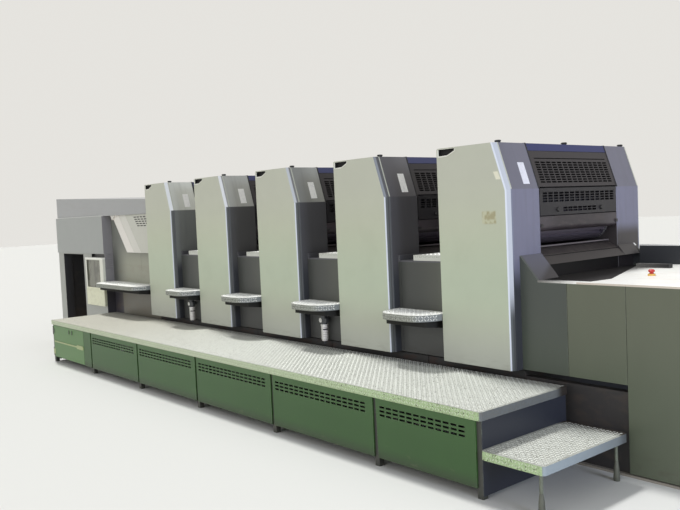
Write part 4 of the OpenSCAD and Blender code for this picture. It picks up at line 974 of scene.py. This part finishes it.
# Suction head: cast side frames over the pile with polished cross bars and the grey head body,
# whose four black suckers lift the sheets.
head = Finish("suction_head_paint", (122, 126, 130), roughness=0.40)
head.cloud(5, 0.06)
bar_mask = head.within((head.y, 0.178, 0.624), soft=0.002)
far_bar_mask = head.within((head.y, 1.008, 1.454), soft=0.002)
head.lay(head.either(bar_mask, far_bar_mask), (176, 178, 182))
suckers = head.both(head.below(head.z, 1.408, 0.001), head.within((head.y, 0.60, 1.03)))
head.lay(suckers, (24, 24, 26))
head.round_edges(0.003, (160, 162, 164), 0.5).relief(head.noise(260, 2), 0.0002, 0.3)
head.on("suction_head")
shade_round("suction_head")


# Pile boards: planked beech boards on which the paper stands, hung from chains that run in black
# rails on the side walls.
pile = Finish("pile_boards", (158, 126, 86), roughness=0.6)
pile.cloud(3, 0.16, stretch=(0.4, 12, 4)).cloud(20, 0.10, stretch=(0.3, 14, 6))
pile.soil(12, 0.4, (96, 70, 44), stretch=(0.5, 10, 4))
outer = pile.either(pile.above(pile.z, 0.1915, 0.0008), pile.below(pile.z, 0.1490, 0.0008))
pile.lay(outer, (40, 40, 42))
pile.round_edges(0.003, (186, 160, 120), 0.5).relief(pile.noise(60, 3, stretch=(0.3, 10, 4)), 0.0006, 0.4)
pile.on("pile_boards")


# Delivery hood: the long sheet-steel hood over the chain grippers, in light grey paint, rising
# towards the far end, with a thin ledge folded out along its lower edge. Like the frames, covers
# and cabinet below it, it takes its outline from the construction and its heights from REAL.
DRAWN = (0, 0.883, 0.930, 1.075, 1.081, 1.086, 1.106, 1.110, 1.132, 1.611, 1.618, 1.905, 2.015)
REAL = (0, 0.883, 1.040, 1.186, 1.190, 1.224, 1.234, 1.238, 1.258, 1.722, 1.729, 1.891, 2.003)
MOUTH_TOP, VENT_Z, BOX_BOTTOM, RISE_BOTTOM, HOOD_BOTTOM = REAL[5], REAL[4], REAL[7], REAL[8], REAL[9]


def at_real_heights(node, finish):
    """A closed shape that stands for the node: the node's own triangles, joined where their corners
    meet, with every height read off the bent line through the (DRAWN, REAL) pairs."""
    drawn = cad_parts[node].data
    points, corners = np.empty(3 * len(drawn.vertices)), np.empty(3 * len(drawn.polygons), int)
    drawn.vertices.foreach_get("co", points)
    drawn.polygons.foreach_get("vertices", corners)
    points, joined_to = np.unique(points.reshape(-1, 3).round(6), axis=0, return_inverse=True)
    points[:, 2] = np.interp(points[:, 2], DRAWN, REAL)
    faces = joined_to.reshape(-1)[corners].reshape(-1, 3)
    piece = mesh_piece(node + "_sheets", points - np.array(ORIGIN), faces.tolist(), finish.material)
    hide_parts(node)


delivery_paint = Finish("delivery_grey", (156, 157, 157), roughness=0.38)
delivery_paint.cloud(1.5, 0.03, stretch=(1, 1, 1.5)).cloud(10, 0.012)
delivery_paint.soil(6, 0.2, (120, 116, 104), stretch=(0.5, 1, 3), low=0.56, high=0.8)
# Painted highlight along the folded-out ledge.
painted_highlight_ledge = delivery_paint.below(delivery_paint.y, 0.0245, 0.0004)
delivery_paint.lay(painted_highlight_ledge, (222, 223, 218))
delivery_paint.round_edges(0.003, (206, 206, 204), 0.6).relief(delivery_paint.noise(400, 2), 0.00012, 0.25)
delivery_paint.on("delivery_hood")
at_real_heights("delivery_hood", delivery_paint)


# Delivery side frames: grey boxed doors round the pile opening, with inner walls and the opening's
# lower part painted dark as shade, a vent over the cabinet whose slot is painted black as shade, and
# grooves pressed into the end face, which is painted darker as shade and darkest under the delivery step.
frames_low, frames_high = local("delivery_side_frames")
boxes = Finish("delivery_side_paint", (152, 155, 152), roughness=0.40)
boxes.cloud(1.5, 0.03).cloud(12, 0.012)
end_face = boxes.above(boxes.x, frames_high.x - 0.0055, 0.0004)
boxes.lay(boxes.below(boxes.z, BOX_BOTTOM, 0.004), (152, 154, 148))
# Painted shade: the end face darker, darkest under the delivery step.
boxes.lay(end_face, (134, 132, 134))
boxes.lay(boxes.both(end_face, boxes.below(boxes.z, 0.86, 0.02)), (62, 60, 64))
# Painted shade: the vent's slot painted black.
boxes.lay(boxes.within((boxes.z, VENT_Z, BOX_BOTTOM - 0.004),
                       (boxes.x, frames_high.x - 0.428, frames_high.x - 0.006),
                       (boxes.y, 0.0145, DRIVE_Y - 0.0145), soft=0.0005), (14, 14, 14))
# Painted shade on the inner walls and the pile opening's lower part.
painted_shade_inner_walls = boxes.within((boxes.y, SIDE_T - 0.0005, DRIVE_Y - SIDE_T + 0.0005), soft=0.0004)
boxes.lay(painted_shade_inner_walls, (38, 38, 40))
boxes.lay(boxes.within((boxes.y, 0.003, DRIVE_Y - 0.003),
                       (boxes.x, frames_low.x + 0.19, frames_low.x + 0.905),
                       (boxes.z, -1, MOUTH_TOP + 0.001)), (48, 48, 50))
boxes.soil(10, 0.3, (100, 98, 88), stretch=(1, 1, 3), mask=boxes.below(boxes.z, 0.12, 0.08))
boxes.round_edges(0.003, (200, 200, 196), 0.6).relief(boxes.noise(400, 2), 0.00012, 0.25)
boxes.on("delivery_side_frames")
at_real_heights("delivery_side_frames", boxes)


# Chain guards: folded black sheets beside the pile opening, screwed to the frames' inner walls over
# the hoist chains at the delivery's far corners, so that nobody reaches into them.
guard_black = Finish("chain_guard_enamel", (40, 40, 42), roughness=0.5)
guard_black.cloud(4, 0.10).soil(9, 0.3, (66, 62, 56), stretch=(1, 1, 2))
guard_black.on()
GUARD_X, GUARD_REACH, GUARD_FOLD, GUARD_SHEET = frames_low.x + 0.184, 0.194, 0.022, 0.002
GUARD_FOOT, GUARD_HEAD = 0.210, 1.700
folded = [(0, 0), (GUARD_REACH, 0), (GUARD_REACH, -GUARD_FOLD), (GUARD_REACH - GUARD_SHEET, -GUARD_FOLD),
          (GUARD_REACH - GUARD_SHEET, -GUARD_SHEET), (0, -GUARD_SHEET)]
guards = []
for y, way in ((SIDE_T + 0.001, 1), (DRIVE_Y - SIDE_T - 0.001, -1)):
    path = [(GUARD_X, y, GUARD_FOOT), (GUARD_X, y, GUARD_HEAD)][::way]
    guards.append(sweep(folded, path, [((0, way, 0), (1, 0, 0))] * 2))
points, faces = joined(guards)
mesh_piece("hoist_chain_guards", points, faces, guard_black.material)


# Rise covers: pale grey doors over the sloping chain, with one bevelled band painted in two lit tones,
# rows of pressed slots painted black inside as shade and a peephole, above plain panels that carry
# painted shade where the walkway step shades them. The recess walls behind the covers are painted
# dark as shade, darkest by the end face.
rise = Finish("rise_paint", (192, 192, 182), roughness=0.40)
RISE_TOP_X, RISE_RUN, BAND_W = -6.312, 0.387, 0.440
RISE_LEAN = RISE_RUN / (HOOD_BOTTOM - RISE_BOTTOM)
edge_at = rise.math("SUBTRACT", rise.math("MULTIPLY_ADD", rise.z, RISE_LEAN, rise.x),
                    RISE_TOP_X + HOOD_BOTTOM * RISE_LEAN)
# Painted light: the band's two strips lighter, the half nearer the cover's edge lightest.
rise.lay(rise.below(edge_at, BAND_W, 0.004), (208, 206, 198))
rise.lay(rise.below(edge_at, BAND_W / 2, 0.004), (224, 220, 213))
rise.cloud(1.8, 0.03).cloud(12, 0.012)
# Painted shade on the recess walls behind the covers, darker towards the end face.
painted_shade_walls = rise.within((rise.y, SIDE_T - 0.0004, DRIVE_Y - SIDE_T + 0.0004), soft=0.0002)
rise.lay(painted_shade_walls, (146, 147, 132))
rise.lay(rise.both(painted_shade_walls, rise.below(rise.x, -6.19, 0.20)), (100, 102, 96))
rise.lay(rise.both(painted_shade_walls, rise.below(rise.x, -6.33, 0.07)), (78, 80, 76))
rise.lay(rise.both(painted_shade_walls, rise.above(rise.z, RISE_BOTTOM, 0.16)), (112, 114, 108))
SEAM_Z = 0.842
# Painted shade below the seam, under the delivery step, darkest by the end face.
below_seam = rise.below(rise.z, SEAM_Z, 0.003)
rise.lay(below_seam, (112, 109, 98))
rise.lay(rise.both(below_seam, rise.below(rise.x, -6.20, 0.02)), (58, 56, 62))
# Painted shade: the slots' walls painted black.
painted_shade_rise_slots = rise.within((rise.y, 0.0650, 0.0720), (rise.x, -5.72, -5.19), (rise.z, 1.535, 1.70), soft=0.0006)
rise.lay(painted_shade_rise_slots, (16, 16, 16))
rise.soil(6, 0.22, (112, 96, 76), stretch=(0.6, 1, 2), mask=rise.below(rise.z, 1.1, 0.02))
rise.round_edges(0.002, (226, 226, 220), 0.6).relief(rise.noise(400, 2), 0.00012, 0.25)
rise.on("delivery_rise_covers")
at_real_heights("delivery_rise_covers", rise)


# Powder cabinet: a cream steel box on the operator side of the delivery, with a smoked window over
# a plain door.
cabinet_low, cabinet_high = local("powder_cabinet")
cream = Finish("cream_paint", (217, 218, 190), roughness=0.38)
cream.cloud(3, 0.03).soil(12, 0.2, (150, 140, 104), stretch=(1, 1, 2))
CABINET_FRAME, WINDOW_Z = 0.042, (0.7969, 1.1564)
cream.lay(cream.above(cream.z, WINDOW_Z[0], 0.002), (214, 215, 202))
cream.lay(cream.above(cream.z, WINDOW_Z[1] + 0.012, 0.002), (238, 238, 230))
window = cream.within((cream.y, cabinet_low.y + 0.003, cabinet_low.y + 0.020),
                      (cream.x, cabinet_low.x + CABINET_FRAME - 0.002,
                       cabinet_high.x - 2.4 * CABINET_FRAME + 0.002),
                      (cream.z, WINDOW_Z[0] - 0.002, WINDOW_Z[1] + 0.002), soft=0.0006)
cream.lay(window, (112, 112, 98)).matt(window, -0.2)
cream.lay(cream.both(window, cream.noise(9, 3, (1, 1, 0.6), 0.45, 0.6)), (88, 87, 76))
cream.round_edges(0.003, (236, 236, 220), 0.6)
cream.on("powder_cabinet")
at_real_heights("powder_cabinet", cream)
